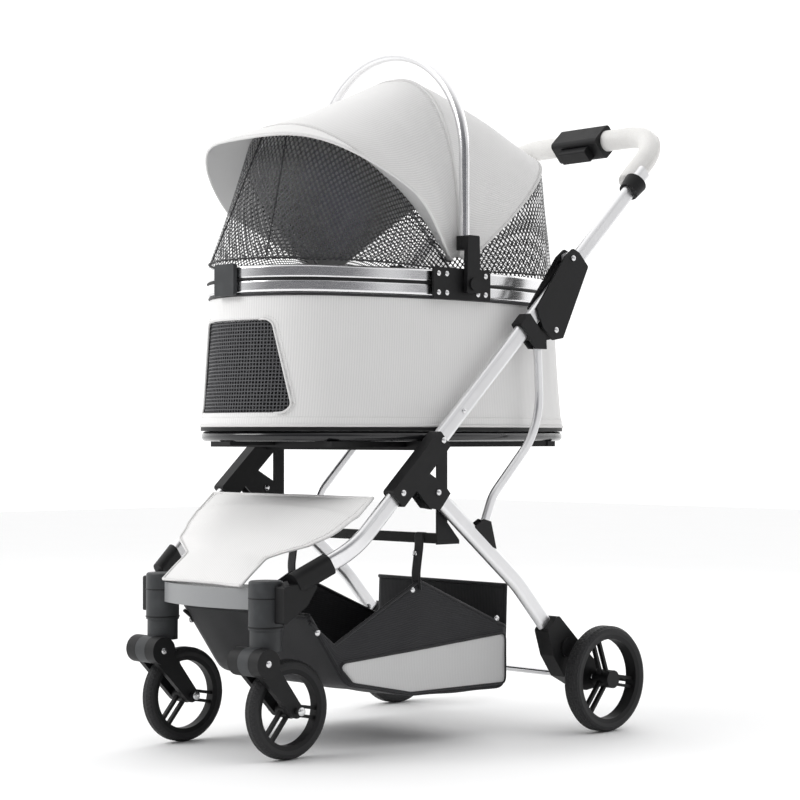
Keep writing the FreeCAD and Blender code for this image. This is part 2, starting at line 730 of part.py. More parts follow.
def arch_handle():
    crown = arch_top - arch_r
    points = [(arch_x, hub_y, arch_low), (arch_x, hub_y, crown), (-arch_x, hub_y, crown),
              (-arch_x, hub_y, arch_low)]
    return round_bar(points, [arch_x - 0.05, arch_x - 0.05], arch_r)


def arch_socket():
    """Black socket outside the hub plate that carries the arch's end above the rail."""
    blade = side_plate([(hub_y - 15, 712), (hub_y + 15, 712), (hub_y + 13, 804), (hub_y - 13, 804)],
                       194.6, 203.0, 3.0)
    sleeve = rod_z(arch_x, hub_y, 782, 804, 12.5)
    bridge = box(arch_x, 198.0, hub_y - 11, hub_y + 11, 783, 803)
    boss = rod_x(203.0, 206.5, hub_y, hub_z, 10.0)
    pin = rod_x(188.4, 195.0, hub_y, hub_z, 6.0)
    body = blade.fuse([sleeve, bridge, boss]).removeSplitter()
    body = body.cut(rod_z(arch_x, hub_y, arch_low, 810, arch_r))
    return body.fuse(pin).removeSplitter()


add("arch_handle", arch_handle())
add("arch_sockets", [arch_socket(), mirrored(arch_socket())])

os.makedirs("parts", exist_ok=True)
for name, shape in parts.items():
    shape.translate(V(0, -origin_y, 0))
    shape.exportStep("parts/" + name + ".step")
whole = Part.makeCompound(list(parts.values())).BoundBox
print(len(parts), "nodes; box", [round(v, 1) for v in (whole.XMin, whole.XMax, whole.YMin, whole.YMax,
                                                      whole.ZMin, whole.ZMax)])
for name, shape in parts.items():
    if not shape.isValid() or not shape.Solids:
        print("not a good solid:", name)
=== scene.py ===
import bmesh
import bpy
import json
import math
from mathutils import Matrix, Vector, noise


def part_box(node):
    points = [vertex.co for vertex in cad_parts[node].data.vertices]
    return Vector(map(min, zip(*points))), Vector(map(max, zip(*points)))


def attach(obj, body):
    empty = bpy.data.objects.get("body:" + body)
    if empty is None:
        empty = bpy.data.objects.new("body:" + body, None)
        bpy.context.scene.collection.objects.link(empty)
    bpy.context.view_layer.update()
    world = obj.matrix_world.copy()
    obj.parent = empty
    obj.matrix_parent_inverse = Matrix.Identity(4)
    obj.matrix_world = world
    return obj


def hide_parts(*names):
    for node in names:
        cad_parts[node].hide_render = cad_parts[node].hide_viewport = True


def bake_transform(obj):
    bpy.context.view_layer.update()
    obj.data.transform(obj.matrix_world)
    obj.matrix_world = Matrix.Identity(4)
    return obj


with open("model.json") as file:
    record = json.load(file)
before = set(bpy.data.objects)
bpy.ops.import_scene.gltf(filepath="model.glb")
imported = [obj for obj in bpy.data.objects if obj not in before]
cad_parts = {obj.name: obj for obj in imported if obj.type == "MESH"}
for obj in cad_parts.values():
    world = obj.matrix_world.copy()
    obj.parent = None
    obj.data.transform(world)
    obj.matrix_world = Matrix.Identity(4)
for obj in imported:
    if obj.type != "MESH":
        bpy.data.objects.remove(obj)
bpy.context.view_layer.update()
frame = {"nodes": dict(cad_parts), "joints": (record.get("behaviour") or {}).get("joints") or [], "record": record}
nodes = frame["nodes"]


class Wire:
    # a shader socket that can be used in sums
    def __init__(self, tree, socket=None):
        self.tree = tree
        self.socket = socket

    def node(self, kind, settings=None, inputs=None, output=0):
        made = self.tree.nodes.new(kind)
        for name, value in (settings or {}).items():
            setattr(made, name, value)
        for name, value in (inputs or {}).items():
            if isinstance(value, Wire):
                self.tree.links.new(value.socket, made.inputs[name])
            else:
                made.inputs[name].default_value = value
        return Wire(self.tree, made.outputs[output])

    def maths(self, operation, *values):
        return self.node("ShaderNodeMath", {"operation": operation}, dict(enumerate(values)))

    def __add__(self, other):
        return self.maths("ADD", self, other)

    def __radd__(self, other):
        return self.maths("ADD", other, self)

    def __sub__(self, other):
        return self.maths("SUBTRACT", self, other)

    def __rsub__(self, other):
        return self.maths("SUBTRACT", other, self)

    def __mul__(self, other):
        return self.maths("MULTIPLY", self, other)

    def __rmul__(self, other):
        return self.maths("MULTIPLY", other, self)

    def __truediv__(self, other):
        return self.maths("DIVIDE", self, other)

    def __rtruediv__(self, other):
        return self.maths("DIVIDE", other, self)

    def __neg__(self):
        return self.maths("MULTIPLY", self, -1.0)

    def sin(self):
        return self.maths("SINE", self)

    def fract(self):
        return self.maths("FRACT", self)

    def abs(self):
        return self.maths("ABSOLUTE", self)

    def floor(self):
        return self.maths("FLOOR", self)

    def smooth(self, low, high):
        # 0 below low, 1 above high, soft between
        return self.node("ShaderNodeMapRange", {"interpolation_type": "SMOOTHSTEP"},
                         {"Value": self, "From Min": low, "From Max": high})

    def xyz(self):
        return [self.node("ShaderNodeSeparateXYZ", None, {0: self}, i) for i in range(3)]


def mixColour(fac, a, b):
    return fac.node("ShaderNodeMix", {"data_type": "RGBA"}, {"Factor": fac, 6: a, 7: b}, 2)


class Finish(Wire):
    # one material: its tree, its main shader and the coordinates
    def __init__(self, name, **values):
        self.material = bpy.data.materials.new(name)
        self.material.use_nodes = True
        super().__init__(self.material.node_tree)
        self.shader = self.tree.nodes["Principled BSDF"]
        self.out = self.tree.nodes["Material Output"]
        self.put(**values)

    def put(self, **values):
        for name, value in values.items():
            socket = self.shader.inputs[name.replace("_", " ")]
            if isinstance(value, Wire):
                self.tree.links.new(value.socket, socket)
            else:
                socket.default_value = value

    def place(self):
        # metres in the row frame
        return self.node("ShaderNodeTexCoord", None, None, "Object")

    def cloth(self):
        # metres along and across the cloth
        return self.node("ShaderNodeUVMap", {"uv_map": "cloth"})

    def grain(self, scale, detail=3.0, at=None, rough=0.5):
        return self.node("ShaderNodeTexNoise", None,
                         {"Vector": at or self.place(), "Scale": scale, "Detail": detail, "Roughness": rough})

    def relief(self, height, depth, strength=1.0):
        self.put(Normal=self.node("ShaderNodeBump", None,
                                  {"Height": height, "Distance": depth, "Strength": strength}))

    def seeThrough(self, solid):
        # solid is 1 on the threads and 0 in the holes
        clear = self.node("ShaderNodeBsdfTransparent")
        main = Wire(self.tree, self.shader.outputs[0])
        mixed = self.node("ShaderNodeMixShader", None, {0: solid, 1: clear, 2: main})
        self.tree.links.new(mixed.socket, self.out.inputs["Surface"])


def colour(r, g, b):
    return (r, g, b, 1.0)


def ribbedCloth(name, base, shade, pitch=0.0042, rib=0.00022, roughness=0.82):
    made = Finish(name, Roughness=roughness, Sheen_Weight=0.15, Specular_IOR_Level=0.25)
    across, along, _ = made.cloth().xyz()
    ribs = (across * (2 * math.pi / pitch)).sin() * 0.5 + 0.5
    weft = (along * (2 * math.pi / 0.0011)).sin() * 0.5 + 0.5
    warp = (across * (2 * math.pi / 0.0009)).sin() * 0.5 + 0.5
    cloudy = made.grain(9.0, 4.0)
    tint = ribs * 0.55 + weft * 0.12 + cloudy * 0.33
    made.put(Base_Color=mixColour(tint, shade, base))
    made.relief(ribs * 0.7 + weft * 0.18 + warp * 0.12, rib)
    return made.material


def netCloth(name, base, pitch, thread, roughness=0.6):
    # net of small lozenge holes, its rows turned an eighth of a circle
    made = Finish(name, Roughness=roughness, Specular_IOR_Level=0.3)
    across, along, _ = made.cloth().xyz()
    cellX = (((across + along) * (0.7071 / pitch)).fract() - 0.5).abs()
    cellY = (((across - along) * (0.7071 / pitch)).fract() - 0.5).abs()
    away = made.maths("MAXIMUM", cellX, cellY) * 0.75 + (cellX + cellY) * 0.25
    solid = away.smooth(0.5 - thread - 0.06, 0.5 - thread + 0.04)
    fuzz = made.grain(900.0, 2.0)
    made.put(Base_Color=mixColour(fuzz, base, colour(*[min(1.0, v * 1.9) for v in base[:3]])))
    made.relief(solid + fuzz * 0.3, 0.0003)
    made.seeThrough(solid)
    return made.material


def squareNet(name, base, pitch, thread):
    # woven net of square holes for the window
    made = Finish(name, Roughness=0.55, Specular_IOR_Level=0.35)
    across, along, _ = made.cloth().xyz()
    edgeX = ((across / pitch).fract() - 0.5).abs()
    edgeY = ((along / pitch).fract() - 0.5).abs()
    solid = made.maths("MAXIMUM", edgeX, edgeY).smooth(0.5 - thread - 0.04, 0.5 - thread + 0.04)
    made.put(Base_Color=mixColour(made.grain(700.0, 2.0), base,
                                  colour(*[min(1.0, v * 2.2) for v in base[:3]])))
    made.relief(solid, 0.0003)
    made.seeThrough(solid)
    return made.material


def mouldedPlastic(name, base, roughness=0.5, speck=0.12, depth=0.00006, coat=0.0):
    made = Finish(name, Specular_IOR_Level=0.28, Coat_Weight=coat, Coat_Roughness=0.12)
    grain = made.grain(1400.0, 3.0)
    worn = made.grain(38.0, 5.0).smooth(0.42, 0.75)
    lighter = colour(*[min(1.0, v * 1.6 + 0.006) for v in base[:3]])
    made.put(Base_Color=mixColour(worn * 0.5 + grain * 0.3, base, lighter),
             Roughness=grain * speck + worn * 0.08 + (roughness - speck * 0.5))
    made.relief(grain, depth)
    return made.material


def drawnMetal(name, base, roughness=0.26, stretch=(1.0, 1.0, 1.0), depth=0.00002, metallic=1.0):
    # anodised or polished stock with faint drawing lines
    made = Finish(name, Metallic=metallic)
    lines = made.node("ShaderNodeMapping", None, {"Vector": made.place(), "Scale": stretch})
    drawn = made.grain(600.0, 3.0, lines)
    smudge = made.grain(14.0, 4.0)
    darker = colour(*[v * 0.86 for v in base[:3]])
    made.put(Base_Color=mixColour(drawn * 0.6 + smudge * 0.4, darker, base),
             Roughness=drawn * 0.1 + smudge * 0.1 + (roughness - 0.1))
    made.relief(drawn, depth)
    return made.material


# finishes, one for each slot in the record and a few for the sewn pieces
clothWhite = ribbedCloth("ribbedWhiteCloth", colour(0.86, 0.855, 0.845), colour(0.72, 0.715, 0.71))
# inside faces of the carrier wall: a darker copy of the white cloth, painted shade for the enclosed interior
shadedCarrierInside = ribbedCloth("carrierInsidePaintedShade", colour(0.16, 0.16, 0.165), colour(0.11, 0.11, 0.115), 0.003)
# inside faces of the canopy: a grey copy of the white cloth, painted shade for the underside
shadedCanopyInside = ribbedCloth("canopyInsidePaintedShade", colour(0.62, 0.62, 0.62), colour(0.52, 0.52, 0.52), 0.003)
clothBlack = ribbedCloth("blackBasketCloth", colour(0.030, 0.030, 0.033), colour(0.014, 0.014, 0.016),
                         0.0035, 0.0003, 0.7)
clothGrey = ribbedCloth("paleBasketPanel", colour(0.70, 0.70, 0.695), colour(0.60, 0.60, 0.60), 0.0035)
pipingWhite = ribbedCloth("whitePiping", colour(0.80, 0.795, 0.785), colour(0.66, 0.655, 0.65), 0.0012,
                          0.0001)
pipingBlack = ribbedCloth("blackPiping", colour(0.028, 0.028, 0.03), colour(0.016, 0.016, 0.018), 0.0012,
                          0.0001, 0.6)
strapBlack = ribbedCloth("blackWebbing", colour(0.030, 0.030, 0.032), colour(0.012, 0.012, 0.013), 0.0022,
                         0.0004, 0.65)
netBlack = netCloth("blackNet", colour(0.030, 0.030, 0.032), 0.0062, 0.115)
netWindow = squareNet("windowNet", colour(0.05, 0.05, 0.053), 0.0056, 0.17)
plasticBlack = mouldedPlastic("mouldedBlack", colour(0.0045, 0.0045, 0.005), 0.5)
plasticCharcoal = mouldedPlastic("mouldedCharcoal", colour(0.034, 0.036, 0.038), 0.45)
glossBlack = mouldedPlastic("glossBlack", colour(0.010, 0.010, 0.011), 0.2, 0.06, 0.00002, 0.6)
powderBlack = mouldedPlastic("powderBlack", colour(0.004, 0.004, 0.0045), 0.48, 0.1, 0.0001)
tubeAluminium = drawnMetal("satinTube", colour(0.90, 0.90, 0.91), 0.34, (1.0, 0.06, 0.06))
railAluminium = drawnMetal("polishedRail", colour(0.88, 0.88, 0.89), 0.22, (0.12, 0.12, 1.0))
chromeMetal = drawnMetal("platedAxle", colour(0.86, 0.86, 0.87), 0.14, (0.05, 1.0, 1.0))
steelRivet = drawnMetal("domedRivet", colour(0.80, 0.80, 0.81), 0.24)
steelWire = drawnMetal("springWire", colour(0.5, 0.5, 0.51), 0.3)


def footrestGrey():
    # satin plastic, with rows of small holes on the faces that look up
    made = Finish("perforatedGrey", Specular_IOR_Level=0.4)
    x, y, _ = made.place().xyz()
    pitch = 0.0052
    cellX = (x / pitch + (y / (pitch * 0.866)).floor() * 0.5).fract() - 0.5
    cellY = (y / (pitch * 0.866)).fract() - 0.5
    away = made.maths("SQRT", cellX * cellX + cellY * cellY * 0.75)
    up = made.node("ShaderNodeNewGeometry", None, None, "Normal").xyz()[2].smooth(0.75, 0.9)
    hole = (1.0 - away.smooth(0.24, 0.32)) * up
    speck = made.grain(1200.0)
    made.put(Base_Color=mixColour(hole, mixColour(speck, colour(0.25, 0.255, 0.26),
                                                  colour(0.31, 0.315, 0.32)),
                                  colour(0.03, 0.03, 0.03)),
             Roughness=hole * 0.3 + speck * 0.08 + 0.36)
    made.relief(1.0 - hole + speck * 0.04, 0.0012)
    return made.material


def gripLeather():
    # padded white cover with a fine pebbled grain
    made = Finish("pebbledWhiteGrip", Specular_IOR_Level=0.4)
    cells = made.node("ShaderNodeTexVoronoi", {"feature": "F1"}, {"Vector": made.place(), "Scale": 520.0})
    pores = made.grain(900.0, 3.0)
    rubbed = made.grain(20.0, 4.0).smooth(0.4, 0.8)
    made.put(Base_Color=mixColour(cells * 0.6 + rubbed * 0.3, colour(0.86, 0.85, 0.83),
                                  colour(0.74, 0.73, 0.71)),
             Roughness=pores * 0.12 + rubbed * 0.06 + 0.42)
    made.relief(cells * 0.7 + pores * 0.3, 0.00035)
    return made.material


def tyreRubber(name, centre):
    # tread of small blocks on the outer band, turned about the wheel's own axle
    made = Finish(name, Specular_IOR_Level=0.35)
    x, y, z = made.place().xyz()
    dy = y - centre.y
    dz = z - centre.z
    turn = made.maths("ARCTAN2", dz, dy) * (64 / (2 * math.pi))
    away = made.maths("SQRT", dy * dy + dz * dz)
    band = (x - centre.x) / 0.0058
    cellA = ((turn + (band.floor() * 0.5).fract()).fract() - 0.5).abs()
    cellB = (band.fract() - 0.5).abs()
    block = made.maths("MAXIMUM", cellA, cellB).smooth(0.26, 0.4)
    tread = away.smooth(centre.w - 0.006, centre.w - 0.002)
    dust = made.grain(120.0, 5.0)
    made.put(Base_Color=mixColour(dust * 0.5, colour(0.016, 0.016, 0.017), colour(0.045, 0.045, 0.046)),
             Roughness=dust * 0.2 + 0.58)
    made.relief((1.0 - block) * tread + dust * 0.05, 0.0011)
    return made.material


footGrey = footrestGrey()
gripWhite = gripLeather()
finishes = {"frame_aluminium": tubeAluminium, "rail_aluminium": railAluminium, "chrome": chromeMetal,
            "rivet_steel": steelRivet, "spring_steel": steelWire, "black_plastic": plasticBlack,
            "charcoal_plastic": plasticCharcoal, "grey_plastic": footGrey, "gloss_black": glossBlack,
            "black_steel": powderBlack, "white_grip": gripWhite, "white_cloth": clothWhite,
            "black_cloth": clothBlack, "grey_cloth": clothGrey, "webbing": strapBlack, "black_mesh": netBlack}


def dressNodes():
    for part in frame["record"]["subparts"]:
        piece = nodes[part["node"]]
        made = finishes.get(part["material_slot"])
        if part["material_slot"] == "tyre_rubber":
            low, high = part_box(part["node"])
            middle = ((low + high) / 2).to_4d()
            middle.w = (high.z - low.z) / 2
            made = tyreRubber(part["node"] + "Rubber", middle)
        for held in piece.material_slots:
            held.material = made


dressNodes()
print("CAD pieces dressed")


def addMesh(name, points, faces, material, uvs=None, smooth=True):
    mesh = bpy.data.meshes.new(name)
    mesh.from_pydata([tuple(p) for p in points], [], faces)
    if uvs:
        layer = mesh.uv_layers.new(name="cloth")
        for loop in mesh.loops:
            layer.data[loop.index].uv = uvs[loop.vertex_index]
    for face in mesh.polygons:
        face.use_smooth = smooth
    for made in material if isinstance(material, list) else [material]:
        mesh.materials.append(made)
    piece = bpy.data.objects.new(name, mesh)
    bpy.context.scene.collection.objects.link(piece)
    return piece


def gridSheet(name, rows, material, keep=None):
    # rows of points become a cloth sheet whose uv is metres along and across
    count = len(rows[0])
    points, uvs, along = [], [], 0.0
    for i, row in enumerate(rows):
        if i:
            along += sum((a - b).length for a, b in zip(row, rows[i - 1])) / count
        across, half = [0.0], 0.0
        for a, b in zip(row, row[1:]):
            across.append(across[-1] + (b - a).length)
        half = across[-1] / 2
        points += row
        uvs += [(s - half, along) for s in across]
    faces = []
    for i in range(len(rows) - 1):
        for j in range(count - 1):
            a = i * count + j
            if keep is None or keep(sum((points[k] for k in (a, a + 1, a + count, a + count + 1)),
                                        Vector()) / 4):
                faces.append((a, a + 1, a + count + 1, a + count))
    return addMesh(name, points, faces, material, uvs)


def apply(piece):
    # bakes the modifiers into the mesh
    graph = bpy.context.evaluated_depsgraph_get()
    mesh = bpy.data.meshes.new_from_object(piece.evaluated_get(graph))
    piece.modifiers.clear()
    piece.data = mesh
    return piece


def thicken(piece, thick, insideShade=None, even=True):
    # the optional second material goes on the inner faces; here it is a painted-shade copy of the cloth
    if insideShade:
        piece.data.materials.append(insideShade)
    made = piece.modifiers.new("thickness", "SOLIDIFY")
    made.thickness = thick
    made.offset = -1.0
    made.use_even_offset = even
    if insideShade:
        made.material_offset = 1
    return apply(piece)


def spaced(points, step, closed=False):
    # the same line, in even steps
    line = points + points[:1] if closed else points
    total = sum((b - a).length for a, b in zip(line, line[1:]))
    count = max(2, round(total / step))
    out, walked, i = [], 0.0, 0
    for k in range(count if closed else count + 1):
        want = total * k / count
        while i < len(line) - 2 and walked + (line[i + 1] - line[i]).length < want:
            walked += (line[i + 1] - line[i]).length
            i += 1
        run = (line[i + 1] - line[i]).length
        out.append(line[i].lerp(line[i + 1], min(1.0, (want - walked) / max(run, 1e-9))))
    return out


def ribbonFrame(points, closed, up):
    frames = []
    for i, p in enumerate(points):
        before = points[i - 1] if i or closed else p
        after = points[(i + 1) % len(points)] if i < len(points) - 1 or closed else p
        along = (after - before).normalized()
        side = along.cross(up).normalized() if abs(along.dot(up)) < 0.98 else along.orthogonal().normalized()
        frames.append((p, along, side, side.cross(along)))
    return frames


def tube(name, points, radius, material, closed=False, step=0.006, up=Vector((0, 0, 1)), sides=10, flat=1.0):
    # round or flattened tube along a line; radius may vary with the share of the way along
    line = spaced(points, step, closed)
    rows, uvs, walked = [], [], 0.0
    frames = ribbonFrame(line, closed, up)
    for i, (p, along, side, top) in enumerate(frames):
        share = i / max(1, len(frames) - 1)
        r = radius(share) if callable(radius) else radius
        if i:
            walked += (p - frames[i - 1][0]).length
        for k in range(sides):
            a = 2 * math.pi * k / sides
            rows.append(p + side * (r * math.cos(a)) + top * (r * flat * math.sin(a)))
            uvs.append((r * a, walked))
    faces = []
    turns = len(frames) if closed else len(frames) - 1
    for i in range(turns):
        a, b = i * sides, ((i + 1) % len(frames)) * sides
        faces += [(a + k, a + (k + 1) % sides, b + (k + 1) % sides, b + k) for k in range(sides)]
    if not closed:
        faces += [tuple(reversed(range(sides))), tuple(range(len(rows) - sides, len(rows)))]
    return addMesh(name, rows, faces, material, uvs)


def stitches(name, points, material, normals=None, pitch=0.0042, length=0.0028, radius=0.00042, closed=False,
             lift=0.0002, up=Vector((0, 0, 1))):
    # a row of short raised threads
    line = spaced(points, pitch, closed)
    verts, faces, uvs = [], [], []
    for i, (p, along, side, top) in enumerate(ribbonFrame(line, closed, up)):
        out = top if normals is None else normals(p)
        across = along.cross(out).normalized()
        base = len(verts)
        for s, r in ((-0.5, 0.35), (-0.3, 1.0), (0.3, 1.0), (0.5, 0.35)):
            for k in range(5):
                a = 2 * math.pi * k / 5
                verts.append(p + along * (s * length) + across * (radius * r * math.cos(a))
                             + out * (lift + radius * r * math.sin(a)))
                uvs.append((k * 0.0004, s * length))
        for j in range(3):
            faces += [(base + j * 5 + k, base + j * 5 + (k + 1) % 5, base + (j + 1) * 5 + (k + 1) % 5,
                       base + (j + 1) * 5 + k) for k in range(5)]
        faces += [tuple(base + k for k in reversed(range(5))), tuple(base + 15 + k for k in range(5))]
    return addMesh(name, verts, faces, material, uvs)


def joined(name, pieces):
    # several meshes with their own materials as one piece
    mesh = bpy.data.meshes.new(name)
    made = bpy.data.objects.new(name, mesh)
    bpy.context.scene.collection.objects.link(made)
    build = bmesh.new()
    build.loops.layers.uv.new("cloth")
    for piece in pieces:
        start = len(build.faces)
        build.from_mesh(piece.data)
        build.faces.ensure_lookup_table()
        offset = [made.data.materials.find(m.name) for m in piece.data.materials]
        for i, m in enumerate(piece.data.materials):
            if offset[i] < 0:
                made.data.materials.append(m)
                offset[i] = len(made.data.materials) - 1
        for face in build.faces[start:]:
            face.material_index = offset[face.material_index]
        bpy.data.objects.remove(piece)
    build.to_mesh(mesh)
    build.free()
    return made


def dome(name, centre, axis, radius, height, material, sides=20):
    # rivet head: a low dome with a small flat skirt, standing along axis
    axis = Vector(axis).normalized()
    side = axis.orthogonal().normalized()
    other = axis.cross(side)
    profile = [(1.0, 0.0), (1.0, 0.22), (0.93, 0.42), (0.74, 0.72), (0.45, 0.93), (0.18, 1.0)]
    points, faces = [], []
    for r, h in profile:
        for k in range(sides):
            a = 2 * math.pi * k / sides
            outward = side * math.cos(a) + other * math.sin(a)
            points.append(centre + axis * (h * height) + outward * (r * radius))
    for j in range(len(profile) - 1):
        faces += [(j * sides + k, j * sides + (k + 1) % sides, (j + 1) * sides + (k + 1) % sides,
                   (j + 1) * sides + k) for k in range(sides)]
    faces += [tuple(reversed(range(sides))), tuple(range(len(points) - sides, len(points)))]
    return addMesh(name, points, faces, material, [(0.0, 0.0)] * len(points))


def curveThrough(stations, value):
    # smooth value between (place, value) stations
    if value <= stations[0][0]:
        return stations[0][1]
    for i in range(len(stations) - 1):
        (a, va), (b, vb) = stations[i], stations[i + 1]
        if value <= b:
            t = (value - a) / (b - a)
            before = stations[i - 1] if i else stations[i]
            after = stations[i + 2] if i + 2 < len(stations) else stations[i + 1]
            ma = (vb - before[1]) / (b - before[0]) * (b - a)
            mb = (after[1] - va) / (after[0] - a) * (b - a)
            return ((2 * t ** 3 - 3 * t ** 2 + 1) * va + (t ** 3 - 2 * t ** 2 + t) * ma
                    + (3 * t ** 2 - 2 * t ** 3) * vb + (t ** 3 - t ** 2) * mb)
    return stations[-1][1]


def islands(node):
    # lowest and highest corner of each separate solid in a CAD node
    mesh = nodes[node].data
    keys, ids, parent = {}, [], []
    for v in mesh.vertices:
        key = tuple(round(c, 5) for c in v.co)
        if key not in keys:
            keys[key] = len(parent)
            parent.append(len(parent))
        ids.append(keys[key])

    def root(i):
        while parent[i] != i:
            parent[i] = parent[parent[i]]
            i = parent[i]
        return i

    for face in mesh.polygons:
        first = root(ids[face.vertices[0]])
        for v in face.vertices[1:]:
            parent[root(ids[v])] = first
            first = root(first)
    boxes = {}
    for key, i in keys.items():
        low, high = boxes.setdefault(root(i), (Vector(key), Vector(key)))
        boxes[root(i)] = (Vector(map(min, low, key)), Vector(map(max, high, key)))
    return sorted(boxes.values(), key=lambda pair: tuple(pair[0]))


def ovalLine(halfY, halfX, z, count=260):
    # four arcs, tight at the front and rear and wide along the sides, starting at the rear
    endR = 0.8 * halfX
    far = halfY - endR
    sideR = (far ** 2 + halfX ** 2 - endR ** 2) / (2 * (halfX - endR))
    reach = sideR - halfX
    tip = math.atan2(reach, far)
    lean = math.atan2(far + endR * math.cos(tip), endR * math.sin(tip) + reach)
    steps = [i / 60 for i in range(60)]
    line = [(endR * math.sin(tip * t), far + endR * math.cos(tip * t)) for t in steps]
    line += [(sideR * math.cos(lean * (1 - 2 * t)) - reach,
              sideR * math.sin(lean * (1 - 2 * t))) for t in steps]
    line += [(endR * math.sin(tip * (1 - 2 * t)), -far - endR * math.cos(tip * (1 - 2 * t))) for t in steps]
    line += [(reach - sideR * math.cos(lean * (2 * t - 1)),
              sideR * math.sin(lean * (2 * t - 1))) for t in steps]
    line += [(endR * math.sin(tip * (t - 1)), far + endR * math.cos(tip * (t - 1))) for t in steps]
    points = [Vector((x, carrier["middle"] + y, z)) for x, y in line]
    total = sum((b - a).length for a, b in zip(points, points[1:] + points[:1]))
    return spaced(points, total / count, True)[:count]


carrierLow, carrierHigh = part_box("carrier_body")
railLow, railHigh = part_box("lower_rail")
carrier = {
    "middle": (carrierLow.y + carrierHigh.y) / 2,
    "foot": ((carrierHigh.y - carrierLow.y) / 2, carrierHigh.x),
    "head": ((railHigh.y - railLow.y) / 2 - 0.004, railHigh.x - 0.004),
    "low": carrierLow.z,
    "high": carrierHigh.z,
    "bow": 0.0022,          # how far the cloth pulls in between its seams
    "ripple": 0.0009,
    "thick": 0.0026,
    "hem": 0.014,
    "windowLow": 0.521,
    "windowHigh": 0.664,
    "windowWide": 0.112,
    "windowNarrow": 0.078,
    "windowCorner": 0.014,
}


def wallSize(z):
    t = (z - carrier["low"]) / (carrier["high"] - carrier["low"])
    return [a + (b - a) * t for a, b in zip(carrier["foot"], carrier["head"])]


def frontWall(x, z, proud=0.0):
    # a point on the front of the carrier's wall
    halfY, halfX = wallSize(z)
    endR = 0.8 * halfX
    out = Vector((x, -math.sqrt(max(endR ** 2 - x ** 2, 1e-9)), 0)).normalized() * (proud - wallPull(z))
    return Vector((x, carrier["middle"] - (halfY - endR) - math.sqrt(max(endR ** 2 - x ** 2, 1e-9)), z)) + out


def wallPull(z):
    t = (z - carrier["low"]) / (carrier["high"] - carrier["low"])
    return carrier["bow"] * math.sin(math.pi * min(1.0, max(0.0, t)))


def rounded(corners, radius, steps=8):
    # closed outline in x and z with its corners turned
    out = []
    for i, p in enumerate(corners):
        a, b = corners[i - 1], corners[(i + 1) % len(corners)]
        ua, ub = (a - p).normalized(), (b - p).normalized()
        half = math.acos(max(-1.0, min(1.0, ua.dot(ub)))) / 2
        reach = radius / math.tan(half)
        centre = p + (ua + ub).normalized() * (radius / math.sin(half))
        start, end = p + ua * reach - centre, p + ub * reach - centre
        turn = start.angle_signed(end)
        for k in range(steps + 1):
            spin = Matrix.Rotation(-turn * k / steps, 2)
            out.append(centre + spin @ start)
    return out


def windowLine(grow=0.0):
    wide, narrow = carrier["windowWide"] + grow, carrier["windowNarrow"] + grow
    low, high = carrier["windowLow"] - grow, carrier["windowHigh"] + grow
    corners = [Vector(p) for p in ((-wide, low), (wide, low), (narrow, high), (-narrow, high))]
    return rounded(corners, carrier["windowCorner"] + grow)


def faceOut(piece, middle):
    # turns a shell so that its faces look away from its middle
    build = bmesh.new()
    build.from_mesh(piece.data)
    bmesh.ops.remove_doubles(build, verts=build.verts, dist=0.00001)
    if sum(face.normal.dot(face.calc_center_median() - middle) * face.calc_area()
           for face in build.faces) < 0:
        bmesh.ops.reverse_faces(build, faces=build.faces)
    build.to_mesh(piece.data)
    build.free()


def turnOut(piece):
    # a closed mesh with its faces outward
    build = bmesh.new()
    build.from_mesh(piece.data)
    bmesh.ops.recalc_face_normals(build, faces=build.faces)
    build.to_mesh(piece.data)
    build.free()


